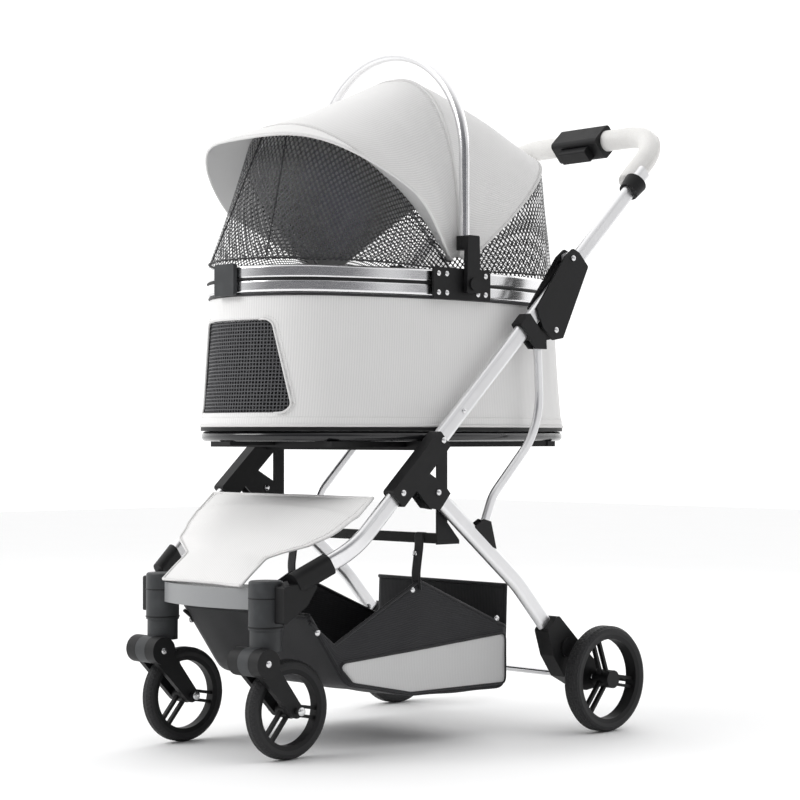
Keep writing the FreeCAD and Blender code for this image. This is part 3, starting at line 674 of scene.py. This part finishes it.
def makeCarrier():
    rows = []
    steps = 34
    for i in range(steps + 1):
        z = carrier["low"] + (carrier["high"] - carrier["low"]) * i / steps
        t = i / steps
        row = []
        line = ovalLine(*wallSize(z), z)
        for j, p in enumerate(line):
            out = (line[(j + 1) % len(line)] - line[j - 1]).cross(Vector((0, 0, -1))).normalized()
            wave = (noise.noise(Vector((j * 0.11, t * 1.3, 2.0)))
                    + 0.5 * noise.noise(Vector((j * 0.34, t * 2.1, 7.0))))
            hemmed = 0.0012 if z < carrier["low"] + carrier["hem"] else 0.0
            row.append(p + out * (hemmed - wallPull(z) + carrier["ripple"] * wave * math.sin(math.pi * t)))
        rows.append(row + [row[0].copy()])
    wall = gridSheet("carrierWall", rows, clothWhite)
    faceOut(wall, Vector((0, carrier["middle"], (carrier["low"] + carrier["high"]) / 2)))
    # the inner faces get the darker copy of the cloth: painted shade inside the carrier
    thicken(wall, carrier["thick"], shadedCarrierInside)
    outline = windowLine()
    count = len(outline)
    prism = [(p.x, y, p.y) for y in (carrierLow.y - 0.05, carrierLow.y + 0.12) for p in outline]
    sides = [(k, (k + 1) % count, count + (k + 1) % count, count + k) for k in range(count)]
    cutter = addMesh("windowCutter", prism, sides + [tuple(reversed(range(count))),
                                                     tuple(range(count, 2 * count))],
                     shadedCarrierInside)
    turnOut(cutter)
    cut = wall.modifiers.new("window", "BOOLEAN")
    cut.object = cutter
    cut.solver = "EXACT"
    apply(wall)
    bpy.data.objects.remove(cutter)
    for face in wall.data.polygons:
        face.use_smooth = True
    edge = [frontWall(p.x, p.y, 0.0004) for p in windowLine(0.0008)]
    binding = tube("windowBinding", edge, 0.0019, pipingWhite, True, 0.003, Vector((0, -1, 0)))
    sewn = [frontWall(p.x, p.y, 0.0003) for p in windowLine(0.0062)]
    thread = stitches("windowStitches", sewn, pipingWhite, lambda p: Vector((p.x, -0.15, 0)).normalized(),
                      closed=True, up=Vector((0, -1, 0)))
    extras = [binding, thread]
    for name, z, out, radius, made in (("hemPiping", carrier["low"] + 0.0022, 0.0014, 0.0022, pipingWhite),
                                       ("hemSeam", carrier["low"] + carrier["hem"] + 0.001, -0.0004,
                                        0.0009, pipingWhite),
                                       ("headBinding", carrier["high"] - 0.0025, 0.0006, 0.0022,
                                        pipingBlack)):
        halfY, halfX = wallSize(z)
        extras.append(tube(name, ovalLine(halfY + out, halfX + out, z, 200), radius, made, True, 0.008))
    rows = []
    for i in range(29):
        z = carrier["windowLow"] - 0.006 + (carrier["windowHigh"] - carrier["windowLow"] + 0.012) * i / 28
        share = (z - carrier["windowLow"]) / (carrier["windowHigh"] - carrier["windowLow"])
        half = carrier["windowWide"] + (carrier["windowNarrow"] - carrier["windowWide"]) * share + 0.006
        rows.append([frontWall(half * (k / 20 - 1), z,
                               -0.0034 - 0.001 * noise.noise(Vector((k * 0.2, i * 0.2, 3.0))))
                     for k in range(41)])
    pane = gridSheet("windowPane", rows, netWindow)
    for piece in [wall, pane] + extras:
        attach(piece, "carrier")
    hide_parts("carrier_body")
    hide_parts("window_mesh")


makeCarrier()
print("carrier sewn")

hood = {
    "y": carrier["middle"],
    "z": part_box("upper_rail")[1].z + 0.002,
    "foot": 0.022,
    "footX": 0.165,
    "power": 2 / 2.4,
    # height of the crown, and how far the legs bow out, at each turn about the hub
    "heights": [(36.2, 0.374), (47, 0.345), (61, 0.326), (75, 0.320), (89, 0.325), (98, 0.312), (107, 0.304),
                (122, 0.305), (137, 0.332)],
    "bellies": [(36.2, 0.165), (89, 0.165), (107, 0.168), (122, 0.175), (137, 0.184)],
    "bows": [36.2, 89.0, 137.0],
    # the peak flares out from the front seam to this arch
    "hemTurn": 144.6,
    "hemLift": 3.0,
    "hemHeight": 0.371,
    "hemBelly": 0.248,
    "hemFoot": 0.197,
    "peakPuff": 0.004,
    "thick": 0.0022,
    "pucker": 0.0011,
}
rearNet = {"heights": [(1.0, 0.331), (12, 0.334), (24, 0.345), (35.6, 0.371)], "from": 35.8, "to": 1.0}
frontNet = {"seam": 137.0, "inside": 0.003, "railTurn": 179.0, "railHeight": 0.331, "railBelly": 0.182,
            "apex": 0.035, "corner": 0.40}


def archPoint(turn, height, belly, footX, v):
    # a point on the arch that stands at this turn; v runs from the left foot to the right
    c, s = math.cos(math.pi * v), max(0.0, math.sin(math.pi * v))
    r = hood["foot"] + (height - hood["foot"]) * s ** hood["power"]
    half = footX + (belly - footX) * math.sin(min(1.0, 2 * s) * math.pi / 2)
    a = math.radians(turn)
    return Vector((half * math.copysign(abs(c) ** hood["power"], c), hood["y"] + r * math.cos(a),
                   hood["z"] + r * math.sin(a)))


def hoodPoint(turn, v, slack=0.0):
    height = curveThrough(hood["heights"], turn) - slack * math.sin(math.pi * v)
    return archPoint(turn, height, curveThrough(hood["bellies"], turn), hood["footX"], v)


def hoodOut(p):
    # away from the line between the hubs
    return (p - Vector((p.x * 0.4, hood["y"], hood["z"]))).normalized()


def peakPoint(share, v):
    # from the front seam at 0 to the free hem at 1
    seam = hoodPoint(hood["bows"][-1], v)
    turn = hood["hemTurn"] + hood["hemLift"] * math.exp(-((v - 0.5) / 0.13) ** 2)
    hem = archPoint(turn, hood["hemHeight"], hood["hemBelly"], hood["hemFoot"], v)
    hem = seam.lerp(hem, min(1.0, 0.1 + math.sin(math.pi * v) / 0.45))      # it narrows towards the hubs
    p = seam.lerp(hem, share)
    return p + hoodOut(p) * (hood["peakPuff"] * math.sin(math.pi * share) * math.sin(math.pi * v))


def rearNetPoint(share, v):
    turn = rearNet["from"] + (rearNet["to"] - rearNet["from"]) * share
    height = curveThrough(rearNet["heights"], turn) - 0.003 * math.sin(math.pi * share)
    return archPoint(turn, height, hood["footX"], hood["footX"], v)


def frontNetPoint(share, v):
    # drawn tight from inside the front seam to the rail
    seam = hoodPoint(frontNet["seam"] + 0.5, v)
    seam -= hoodOut(seam) * frontNet["inside"]
    rail = archPoint(frontNet["railTurn"], frontNet["railHeight"], frontNet["railBelly"], hood["footX"], v)
    p = seam.lerp(rail, share)
    return p - hoodOut(p) * (0.002 * math.sin(math.pi * share))


def betweenBows(turn):
    # 0 on a bow and 1 midway between two
    for a, b in zip(hood["bows"], hood["bows"][1:]):
        if a <= turn <= b:
            return math.sin(math.pi * (turn - a) / (b - a))
    return 0.0


def hoodShares(count):
    # even steps along the arch
    line = [hoodPoint(120, k / 400) for k in range(401)]
    run = [0.0]
    for a, b in zip(line, line[1:]):
        run.append(run[-1] + (b - a).length)
    shares, i = [], 0
    for k in range(count + 1):
        want = run[-1] * k / count
        while i < 399 and run[i + 1] < want:
            i += 1
        shares.append((i + (want - run[i]) / max(run[i + 1] - run[i], 1e-9)) / 400)
    return shares


def makeCanopy():
    shares = hoodShares(120)
    first, _, last = hood["bows"]
    rows = []
    for i in range(91):
        row = []
        turn = first + (last - first) * i / 90
        slack = betweenBows(turn)
        for v in shares:
            wave = noise.noise(Vector((turn * 0.09, v * 9.0, 1.0)))
            pull = noise.noise(Vector((turn * 0.5, v * 26.0, 4.0)))
            p = hoodPoint(turn, v, 0.004 * slack)
            row.append(p + hoodOut(p) * (hood["pucker"] * (wave * slack + 0.35 * pull * (1 - slack))))
        rows.append(row)
    for i in range(1, 23):
        row = []
        for v in shares:
            p = peakPoint(i / 22, v)
            row.append(p + hoodOut(p) * (0.0007 * noise.noise(Vector((i * 0.12, v * 30.0, 9.0)))))
        rows.append(row)
    cover = gridSheet("canopyCover", rows, clothWhite)
    faceOut(cover, Vector((0, hood["y"], hood["z"])))
    # the inner faces get the grey copy of the cloth: painted shade under the canopy
    thicken(cover, hood["thick"], shadedCanopyInside)
    extras = []
    for name, along, radius, proud in (("rearHemPiping", lambda v: hoodPoint(first, v), 0.0024, 0.0),
                                       ("middleBowPiping", lambda v: hoodPoint(hood["bows"][1], v),
                                        0.0024, 0.0012),
                                       ("seamPiping", lambda v: hoodPoint(last, v), 0.0019, 0.0010),
                                       ("peakPiping", lambda v: peakPoint(1.0, v), 0.0026, 0.0)):
        line = [along(v) for v in shares]
        extras.append(tube(name, [p + hoodOut(p) * proud for p in line], radius, pipingWhite, False, 0.006,
                           Vector((0.3, 0.2, 0.9)).normalized()))
    for name, along in (("middleStitchesA", lambda v: hoodPoint(87.6, v)),
                        ("middleStitchesB", lambda v: hoodPoint(90.4, v)),
                        ("seamStitches", lambda v: hoodPoint(last - 0.9, v)),
                        ("peakStitches", lambda v: peakPoint(0.86, v)),
                        ("rearStitches", lambda v: hoodPoint(first + 0.8, v))):
        extras.append(stitches(name, [along(v) for v in shares], pipingWhite, hoodOut, 0.005, 0.0034, 0.0004,
                               lift=0.0003))
    sewn = joined("canopySeams", extras)
    rear = hoodPoint(first, 0.5)
    front = hoodPoint(last, 0.5)
    for piece in (cover, sewn):
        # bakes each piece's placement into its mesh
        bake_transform(piece)
    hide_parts("canopy")


def makeNets():
    shares = hoodShares(90)
    for name, along, node, body, hemAt, area in (("frontNet", frontNetPoint, "front_mesh", "hood", 0.985,
                                                  0.13),
                                                 ("rearNet", rearNetPoint, "rear_mesh", "carrier", 0.98,
                                                  0.105)):
        net = gridSheet(name, [[along(i / 40, v) for v in shares] for i in range(41)], netBlack)
        hem = tube(name + "Hem", [along(hemAt, v) for v in shares], 0.0022, pipingBlack, False, 0.006,
                   Vector((0, 0, 1)), 8, 0.6)
        extras = [hem]
        if node == "front_mesh":
            # a seam down each side of the front panel, from the crown to the rail
            for side in (0, 1):
                line = []
                for k in range(25):
                    v = 0.5 - frontNet["apex"] - (0.5 - frontNet["apex"] - frontNet["corner"]) * k / 24
                    line.append(frontNetPoint(k / 24, 1 - v if side else v))
                extras.append(tube("netSeam", line, 0.0013, pipingBlack, False, 0.005, Vector((1, 0, 0)),
                                   8, 0.5))
        for piece in [net] + extras:
            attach(piece, body)
        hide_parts(node)


makeCanopy()
makeNets()
print("canopy and nets stretched over their bows")


basketLow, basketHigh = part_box("basket")
barLow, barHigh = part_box("basket_bar")
basket = {
    "half": basketHigh.x,
    "front": basketLow.y,
    "low": basketLow.z,
    # the floor line seen from the side, as (y, z) from the front lip to the back's top
    "floor": [(0.0, 0.140), (0.077, 0.030), (0.206, 0.004), (0.418, 0.000), (0.424, 0.165)],
    # the side's top edge, as (y, z)
    "brim": [(0.0, 0.129), (0.049, 0.091), (0.226, 0.181), (0.420, 0.098)],
    "sag": 0.006,
    "thick": 0.0026,
}


def onPath(path, y):
    for (a, za), (b, zb) in zip(path, path[1:]):
        if y <= b:
            return za + (zb - za) * max(0.0, (y - a)) / max(b - a, 1e-9)
    return path[-1][1]


def basketPoint(x, y, z):
    return Vector((x, basket["front"] + y, basket["low"] + z))


def sidePuff(side, y, z, lowest):
    # how far the basket's side stands out at this place
    low = onPath(lowest, y)
    high = max(low + 0.0005, onPath(basket["brim"], y))
    t = min(1.0, max(0.0, (z - low) / (high - low)))
    puff = 0.0040 * math.sin(math.pi * t) * math.sin(math.pi * min(1.0, max(0.0, y / 0.4195)))
    fold = 0.0014 * noise.noise(Vector((y * 22, t * 2.4, side * 3.0))) * math.sin(math.pi * t)
    return puff + fold


def makeBasket():
    half, floor = basket["half"], basket["floor"]
    line = spaced([Vector((0, y, z)) for y, z in floor], 0.007)
    for _ in range(5):      # the corners of the sling are soft
        line = [line[0]] + [(a + b * 2 + c) / 4 for a, b, c in zip(line, line[1:], line[2:])] + [line[-1]]
    rows = []
    for i, p in enumerate(line):
        t = i / (len(line) - 1)
        row = []
        for k in range(45):
            u = k / 22 - 1
            droop = basket["sag"] * (1 - u * u) * math.sin(math.pi * t)
            wave = 0.0016 * noise.noise(Vector((u * 3.1, t * 8.0, 9.0)))
            row.append(basketPoint(half * u, p.y,
                                   p.z - droop * (0.4 if p.y > 0.3 and p.z > 0.02 else 1.0) * 0.5 + wave))
        rows.append(row)
    sling = gridSheet("basketSling", rows, clothBlack)
    panels = [thicken(sling, basket["thick"])]
    # the sling's own line, so that each side meets it
    edge = [(p.y, p.z) for p in line if p.z < 0.15]
    lowest = sorted((y, z) for y, z in edge if y <= 0.4195)
    extras = []
    for side in (1, -1):
        rows = []
        for i in range(61):
            y = 0.0015 + (0.4195 - 0.0015) * i / 60
            low = onPath(lowest, y)
            high = max(low + 0.0005, onPath(basket["brim"], y))
            row = []
            for k in range(19):
                z = low + (high - low) * k / 18
                row.append(basketPoint(side * (half - 0.0005 + sidePuff(side, y, z, lowest)), y, z))
            rows.append(row if side > 0 else row[::-1])
        panels.append(thicken(gridSheet("basketSide", rows, clothBlack), basket["thick"], even=False))
        top = [basketPoint(side * (half + 0.0004), y, z) for y, z in basket["brim"]]
        extras.append(tube("basketBrim", top, 0.0030, pipingBlack, False, 0.006, Vector((1, 0, 0)), 8, 1.0))
        seam = [basketPoint(side * (half + 0.0006), y, z) for y, z in lowest]
        extras.append(tube("basketSeam", seam, 0.0022, pipingBlack, False, 0.006, Vector((1, 0, 0)), 8))
        # pale lower panel with its own piping
        shape = [(0.052, 0.064), (0.4185, 0.088), (0.4185, 0.006), (0.206, 0.007), (0.085, 0.031)]
        corners = [Vector((y, z)) for y, z in shape]
        outline = rounded(corners, 0.007, 5)
        outline = spaced([Vector((p.x, p.y, 0)) for p in outline + outline[:1]], 0.006)[:-1]
        outline = [Vector((p.x, p.y)) for p in outline]
        middle = sum(outline, Vector((0, 0))) / len(outline)
        points = []
        rings = 14
        for r in range(rings):
            for p in outline:
                q = middle.lerp(p, (r + 1) / rings)
                proud = 0.0038 - 0.0012 * ((r + 1) / rings) ** 3
                points.append(basketPoint(side * (half + sidePuff(side, q.x, q.y, lowest) + proud), q.x, q.y))
        count = len(outline)
        faces = [(r * count + k, r * count + (k + 1) % count, (r + 1) * count + (k + 1) % count,
                  (r + 1) * count + k)
                 for r in range(rings - 1) for k in range(count)] + [tuple(reversed(range(count)))]
        if side < 0:
            faces = [tuple(reversed(f)) for f in faces]
        pale = addMesh("palePanel", points, faces, clothGrey, [(p.y, p.z) for p in points])
        extras.append(thicken(pale, 0.0012, even=False))
        rim = [basketPoint(side * (half + sidePuff(side, p.x, p.y, lowest) + 0.0024), p.x,
                           p.y) for p in outline]
        extras.append(tube("palePiping", rim, 0.0021, pipingBlack, True, 0.005, Vector((1, 0, 0)), 8))
        # a loop of webbing over the crossbar holds the side's peak
        peak = basketPoint(side * (half - 0.002), 0.226, 0.181)
        extras.append(webbing("sideStrap", [peak + Vector((0, -0.002, -0.014)),
                                            peak + Vector((0, -0.0045, 0.012)),
                                            Vector((peak.x, barLow.y - 0.0016, barLow.z - 0.004)),
                                            Vector((peak.x, barLow.y - 0.0018, barHigh.z + 0.001)),
                                            Vector((peak.x, barHigh.y + 0.0016, barHigh.z + 0.0012)),
                                            Vector((peak.x, barHigh.y + 0.0018, barLow.z + 0.002))], 0.019))
    for name, line in (("lipBinding", [basketPoint(half * (k / 10 - 1), 0.0, 0.140) for k in range(21)]),
                       ("backBinding", [basketPoint(half * (k / 10 - 1), 0.424, 0.165) for k in range(21)])):
        extras.append(tube(name, line, 0.003, pipingBlack, False, 0.008))
    # the back stands taller than the sides; snap heads on both sides
    for y, z, x in ((0.40, 0.112, 1), (0.016, 0.113, 1), (0.212, 0.168, 1)):
        for side in (1, -1):
            spot = basketPoint(side * (half + 0.0012), y, z)
            extras.append(dome("snap", spot, (side, 0, 0), 0.0052, 0.0030, steelRivet))
    shell = joined("basketShell", panels)
    trim = joined("basketTrim", extras)
    for piece, slot in ((shell, "black_cloth"), (trim, "webbing")):
        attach(piece, "frame")
    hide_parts("basket")
    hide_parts("basket_straps")


def webbing(name, points, wide, thick=0.0016):
    # flat strap along a line
    line = spaced(points, 0.004)
    for _ in range(2):
        line = [line[0]] + [(a + b * 2 + c) / 4 for a, b, c in zip(line, line[1:], line[2:])] + [line[-1]]
    rows = []
    for i, p in enumerate(line):
        along = (line[min(i + 1, len(line) - 1)] - line[max(i - 1, 0)]).normalized()
        rows.append([p + Vector((wide * (k / 8 - 0.5), 0, 0)) for k in range(9)])
    strap = gridSheet(name, rows, strapBlack)
    return thicken(strap, thick)


panelLow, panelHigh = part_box("leg_panel")
legPanel = {
    "profile": [(0.0, 0.0), (0.034, 0.027), (0.082, 0.066), (0.134, 0.106), (0.176, 0.129)],
    # half widths: between the casters, then up along the inside of the tubes, as (y, half)
    "widths": [(0.0, 0.098), (0.048, 0.098), (0.076, 0.160), (0.110, 0.186), (0.140, 0.1965),
               (0.176, 0.1975)],
    "crown": 0.013,
    "drop": 0.009,          # the edges hang down to the tubes
    "thick": 0.0024,
}


def legPoint(u, t, proud=0.0):
    # u runs across from -1 to 1, t from the footrest up to the basket
    path = [Vector((0, panelLow.y + y, panelLow.z + 0.0025 + z)) for y, z in legPanel["profile"]]
    reach = t * (len(path) - 1)
    i = min(len(path) - 2, int(reach))
    p = path[i].lerp(path[i + 1], reach - i)
    along = (path[i + 1] - path[i]).normalized()
    out = Vector((0, -along.z, along.y))
    y = p.y - panelLow.y
    half = onPath(legPanel["widths"], y)
    lift = legPanel["crown"] * math.sin(math.pi * min(1.0, max(0.0, t * 1.02))) ** 0.7 * (1 - abs(u) ** 3)
    lift -= legPanel["drop"] * abs(u) ** 3 * min(1.0, max(0.0, (y - 0.06) / 0.04)) * min(1.0, (1 - t) / 0.2)
    wave = 0.0012 * noise.noise(Vector((u * 2.2, t * 3.0, 6.0)))
    return Vector((half * u, p.y, p.z)) + out * (lift + wave + proud)


def makeLegPanel():
    rows = [[legPoint(k / 40 - 1, i / 60) for k in range(81)] for i in range(61)]
    cloth = thicken(gridSheet("legCloth", rows, clothWhite), legPanel["thick"])
    extras = []
    for side in (1, -1):
        extras.append(tube("legEdge", [legPoint(side, i / 40, 0.0004) for i in range(41)], 0.0021,
                           pipingWhite,
                           False, 0.006, Vector((0, -0.7, 0.7)), 8))
        extras.append(stitches("legStitches", [legPoint(side * 0.955, i / 60, 0.0004) for i in range(16, 60)],
                               pipingWhite, lambda p: Vector((0, -0.62, 0.78))))
    for t in (0.0, 1.0):
        extras.append(tube("legHem", [legPoint(k / 20 - 1, t) for k in range(41)], 0.0023, pipingWhite,
                           False, 0.006, Vector((0, -0.7, 0.7)), 8))
    seams = joined("legSeams", extras)
    for piece in (cloth, seams):
        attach(piece, "frame")
    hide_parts("leg_panel")


gripLow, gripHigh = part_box("grip")
slideAxis = next(Vector(j["axis"]) for j in frame["joints"] if j["name"] == "runner_slide").normalized()
grip = {
    "radius": 0.0190,
    "bend": 0.085,
    "leg": 0.143,           # from the caps to the corner, along the tubes
    "thin": 0.0006,
    "seam": 0.0009,
}


def gripLine():
    tubeX = (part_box("side_tube_left")[0].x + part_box("side_tube_left")[1].x) / 2
    corner = Vector((tubeX, gripHigh.y - grip["radius"], gripHigh.z - grip["radius"]))
    start = corner - slideAxis * grip["leg"]
    bend = grip["bend"]
    centre = corner - slideAxis * bend - Vector((bend, 0, 0))
    arc = [centre + Vector((1, 0, 0)) * (bend * math.cos(a)) + slideAxis * (bend * math.sin(a))
           for a in (math.pi / 2 * k / 24 for k in range(25))]
    left = [start + (arc[0] - start) * k / 8 for k in range(8)] + arc
    right = [Vector((-p.x, p.y, p.z)) for p in reversed(left)]
    return left + right


def makeGrip():
    line = gripLine()
    out = slideAxis.cross(Vector((1, 0, 0)))
    total = sum((b - a).length for a, b in zip(line, line[1:]))

    def fat(share):
        # pulled in a little at both ends, soft waves between
        end = min(share, 1 - share) * total
        pinch = max(0.0, 1 - end / 0.010)
        return grip["radius"] - grip["thin"] * (0.3 + 0.5 * noise.noise(Vector((share * 30, 1.0, 0)))) - 0.0022 * pinch ** 2

    cover = tube("gripCover", line, fat, gripWhite, False, 0.0035, out, 36)
    seam = []
    for p, along, side, top in ribbonFrame(spaced(line, 0.004), False, out):
        seam.append(p - side * (grip["radius"] - 0.0004))
    welt = tube("gripWelt", seam, 0.0009, gripWhite, False, 0.004, out, 8)
    thread = joined("gripStitches", [stitches("a", [p + out * 0.0032 * s for p in seam], gripWhite,
                                              None, 0.0046, 0.0031, 0.00045, lift=-0.0002,
                                              up=out) for s in (1, -1)])
    for piece in (cover, welt, thread):
        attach(piece, "handle")
    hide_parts("grip")


makeBasket()
makeLegPanel()
makeGrip()
print("basket, leg panel and grip sewn")


def makeRivets():
    # domed heads where the CAD has plain ones
    for node, body, slot in (("rail_rivets", "carrier", "rivet_steel"),
                             ("frame_fasteners", "frame", "rivet_steel")):
        heads = []
        for low, high in islands(node):
            size = high - low
            # the other two sides are the head's width
            axis = min(range(3), key=lambda i: abs(size[i - 1] - size[i - 2]))
            middle = (low + high) / 2
            radius = max(size[i] for i in range(3) if i != axis) / 2
            if size[axis] > 0.008:      # a pin through a bracket, seen at both ends
                for side in (1, -1):
                    spot = middle.copy()
                    spot[axis] += side * (size[axis] / 2 - 0.0010)
                    heads.append(dome(node, spot, [side if i == axis else 0 for i in range(3)], radius,
                                      0.0030, steelRivet))
                continue
            sign = 1 if middle[axis] > (carrier["middle"] if axis == 1 else 0) else -1
            spot = middle.copy()
            spot[axis] -= sign * size[axis] / 2
            heads.append(dome(node, spot, [sign if i == axis else 0 for i in range(3)], radius,
                              size[axis] - 0.00005, steelRivet))
        made = joined(node + "Domes", heads)
        for face in made.data.polygons:
            face.use_smooth = True
        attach(made, body)
        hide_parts(node)


def makeRailTrim():
    # black gasket in the groove between the two rails
    halfY, halfX = (railHigh.y - railLow.y) / 2, railHigh.x
    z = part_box("upper_rail")[0].z
    made = tube("railGasket", ovalLine(halfY - 0.0008, halfX - 0.0008, z, 220), 0.0021, plasticBlack,
                True, 0.008)
    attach(made, "carrier")


def makeWheelTrim():
    for side, sign in (("left", 1), ("right", -1)):
        low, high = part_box("front_tyre_" + side)
        middle = (low + high) / 2
        forkLow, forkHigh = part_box("caster_fork_" + side)
        for end, x in ((1, forkHigh.x), (-1, forkLow.x)):
            cap = dome("frontAxleCap", Vector((x - end * 0.0002, middle.y, middle.z)), (end, 0, 0),
                       0.0068, 0.0030, steelRivet)
            cap.name = "frontAxleCap_" + side + ("Out" if end == sign else "In")
            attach(cap, "fork_" + side)
        pivot = next(j for j in frame["joints"] if j["name"] == "caster_spring_" + side)["pos_m"]
        for end, x in ((1, forkHigh.x), (-1, forkLow.x)):
            screw = dome("springScrew", Vector((x - end * 0.0002, pivot[1], pivot[2])),
                         (end, 0, 0), 0.0052, 0.0018, steelRivet)
            screw.name = "springScrew_" + side + ("Out" if end == sign else "In")
            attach(screw, "fork_" + side)
        low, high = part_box("caster_housing_" + side)
        axis = Vector(((low.x + high.x) / 2, (low.y + high.y) / 2, 0))
        radius = (high.x - low.x) / 2
        for name, z, thick, made in (("lowerBand", low.z + 0.004, 0.0012, plasticBlack),
                                     ("upperBand", high.z - 0.026, 0.0009, plasticBlack)):
            ring = [Vector((axis.x + radius * math.cos(a), axis.y + radius * math.sin(a), z))
                    for a in (2 * math.pi * k / 60 for k in range(60))]
            band = tube(name + "_" + side, ring, thick, made, True, 0.004)
            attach(band, "frame")


makeRivets()
makeRailTrim()
makeWheelTrim()
print("rivets, gasket and wheel trim fitted")


studio = {
    "eye": (2.5128, -2.3525, 0.4839),
    "turn": 47.20,
    "tilt": 1.03,
    "lens": 92.44,
    "bright": (-0.70, 0.50, 0.51),      # the side the backdrop stands on
    "backdrop": (1.25, 1.25, 1.25, 1.0),
    "room": (0.16, 0.16, 0.17, 1.0),
    "key": 50, "fill": 3, "rim": 20,
}


def areaLight(name, place, target, size, power, tint=(1.0, 1.0, 1.0)):
    data = bpy.data.lights.new(name, "AREA")
    data.shape = "RECTANGLE"
    data.size, data.size_y = size
    data.energy = power
    data.color = tint
    made = bpy.data.objects.new(name, data)
    made.location = place
    made.rotation_euler = (Vector(target) - Vector(place)).to_track_quat("-Z", "Y").to_euler()
    bpy.context.scene.collection.objects.link(made)


def makeStudio():
    floor = addMesh("studioFloor", [Vector((x, y, -0.0005)) for x, y in ((-9, -9), (9, -9), (9, 9), (-9, 9))],
                    [(0, 1, 2, 3)], plasticBlack, smooth=False)
    ground = Finish("paleFloor", Roughness=0.75, Specular_IOR_Level=0.2)
    ground.put(Base_Color=mixColour(ground.grain(3.0), colour(0.93, 0.93, 0.93), colour(0.95, 0.95, 0.95)))
    floor.data.materials[0] = ground.material
    bpy.context.scene.view_settings.view_transform = "Standard"
    world = bpy.data.worlds.new("paleStudio")
    bpy.context.scene.world = world
    world.use_nodes = True
    # a bright backdrop on one side of a dimmer room
    sky = Wire(world.node_tree)
    toward = sky.node("ShaderNodeTexCoord", None, None, "Generated")
    facing = sky.node("ShaderNodeVectorMath", {"operation": "DOT_PRODUCT"},
                      {0: toward, 1: studio["bright"]}, 1)
    shade = mixColour(facing.smooth(-0.7, 0.55), studio["room"], studio["backdrop"])
    world.node_tree.links.new(shade.socket, world.node_tree.nodes["Background"].inputs["Color"])
    areaLight("keyPanel", (-1.0, -2.9, 2.6), (0, 0, 0.6), (2.0, 1.4), studio["key"])
    areaLight("fillPanel", (3.2, 0.6, 1.6), (0, 0, 0.5), (0.8, 2.2), studio["fill"])
    areaLight("rimPanel", (-1.2, 2.8, 2.2), (0, 0, 0.6), (2.0, 1.2), studio["rim"])
    data = bpy.data.cameras.new("studioCamera")
    data.sensor_width = 36.0
    data.lens = studio["lens"]
    data.clip_start, data.clip_end = 0.05, 60.0
    camera = bpy.data.objects.new("studioCamera", data)
    camera.location = studio["eye"]
    a, p = math.radians(studio["turn"]), math.radians(studio["tilt"])
    gaze = Vector((-math.sin(a) * math.cos(p), math.cos(a) * math.cos(p), math.sin(p)))
    camera.rotation_euler = gaze.to_track_quat("-Z", "Y").to_euler()
    bpy.context.scene.collection.objects.link(camera)
    bpy.context.scene.camera = camera


makeStudio()
print("studio lit")
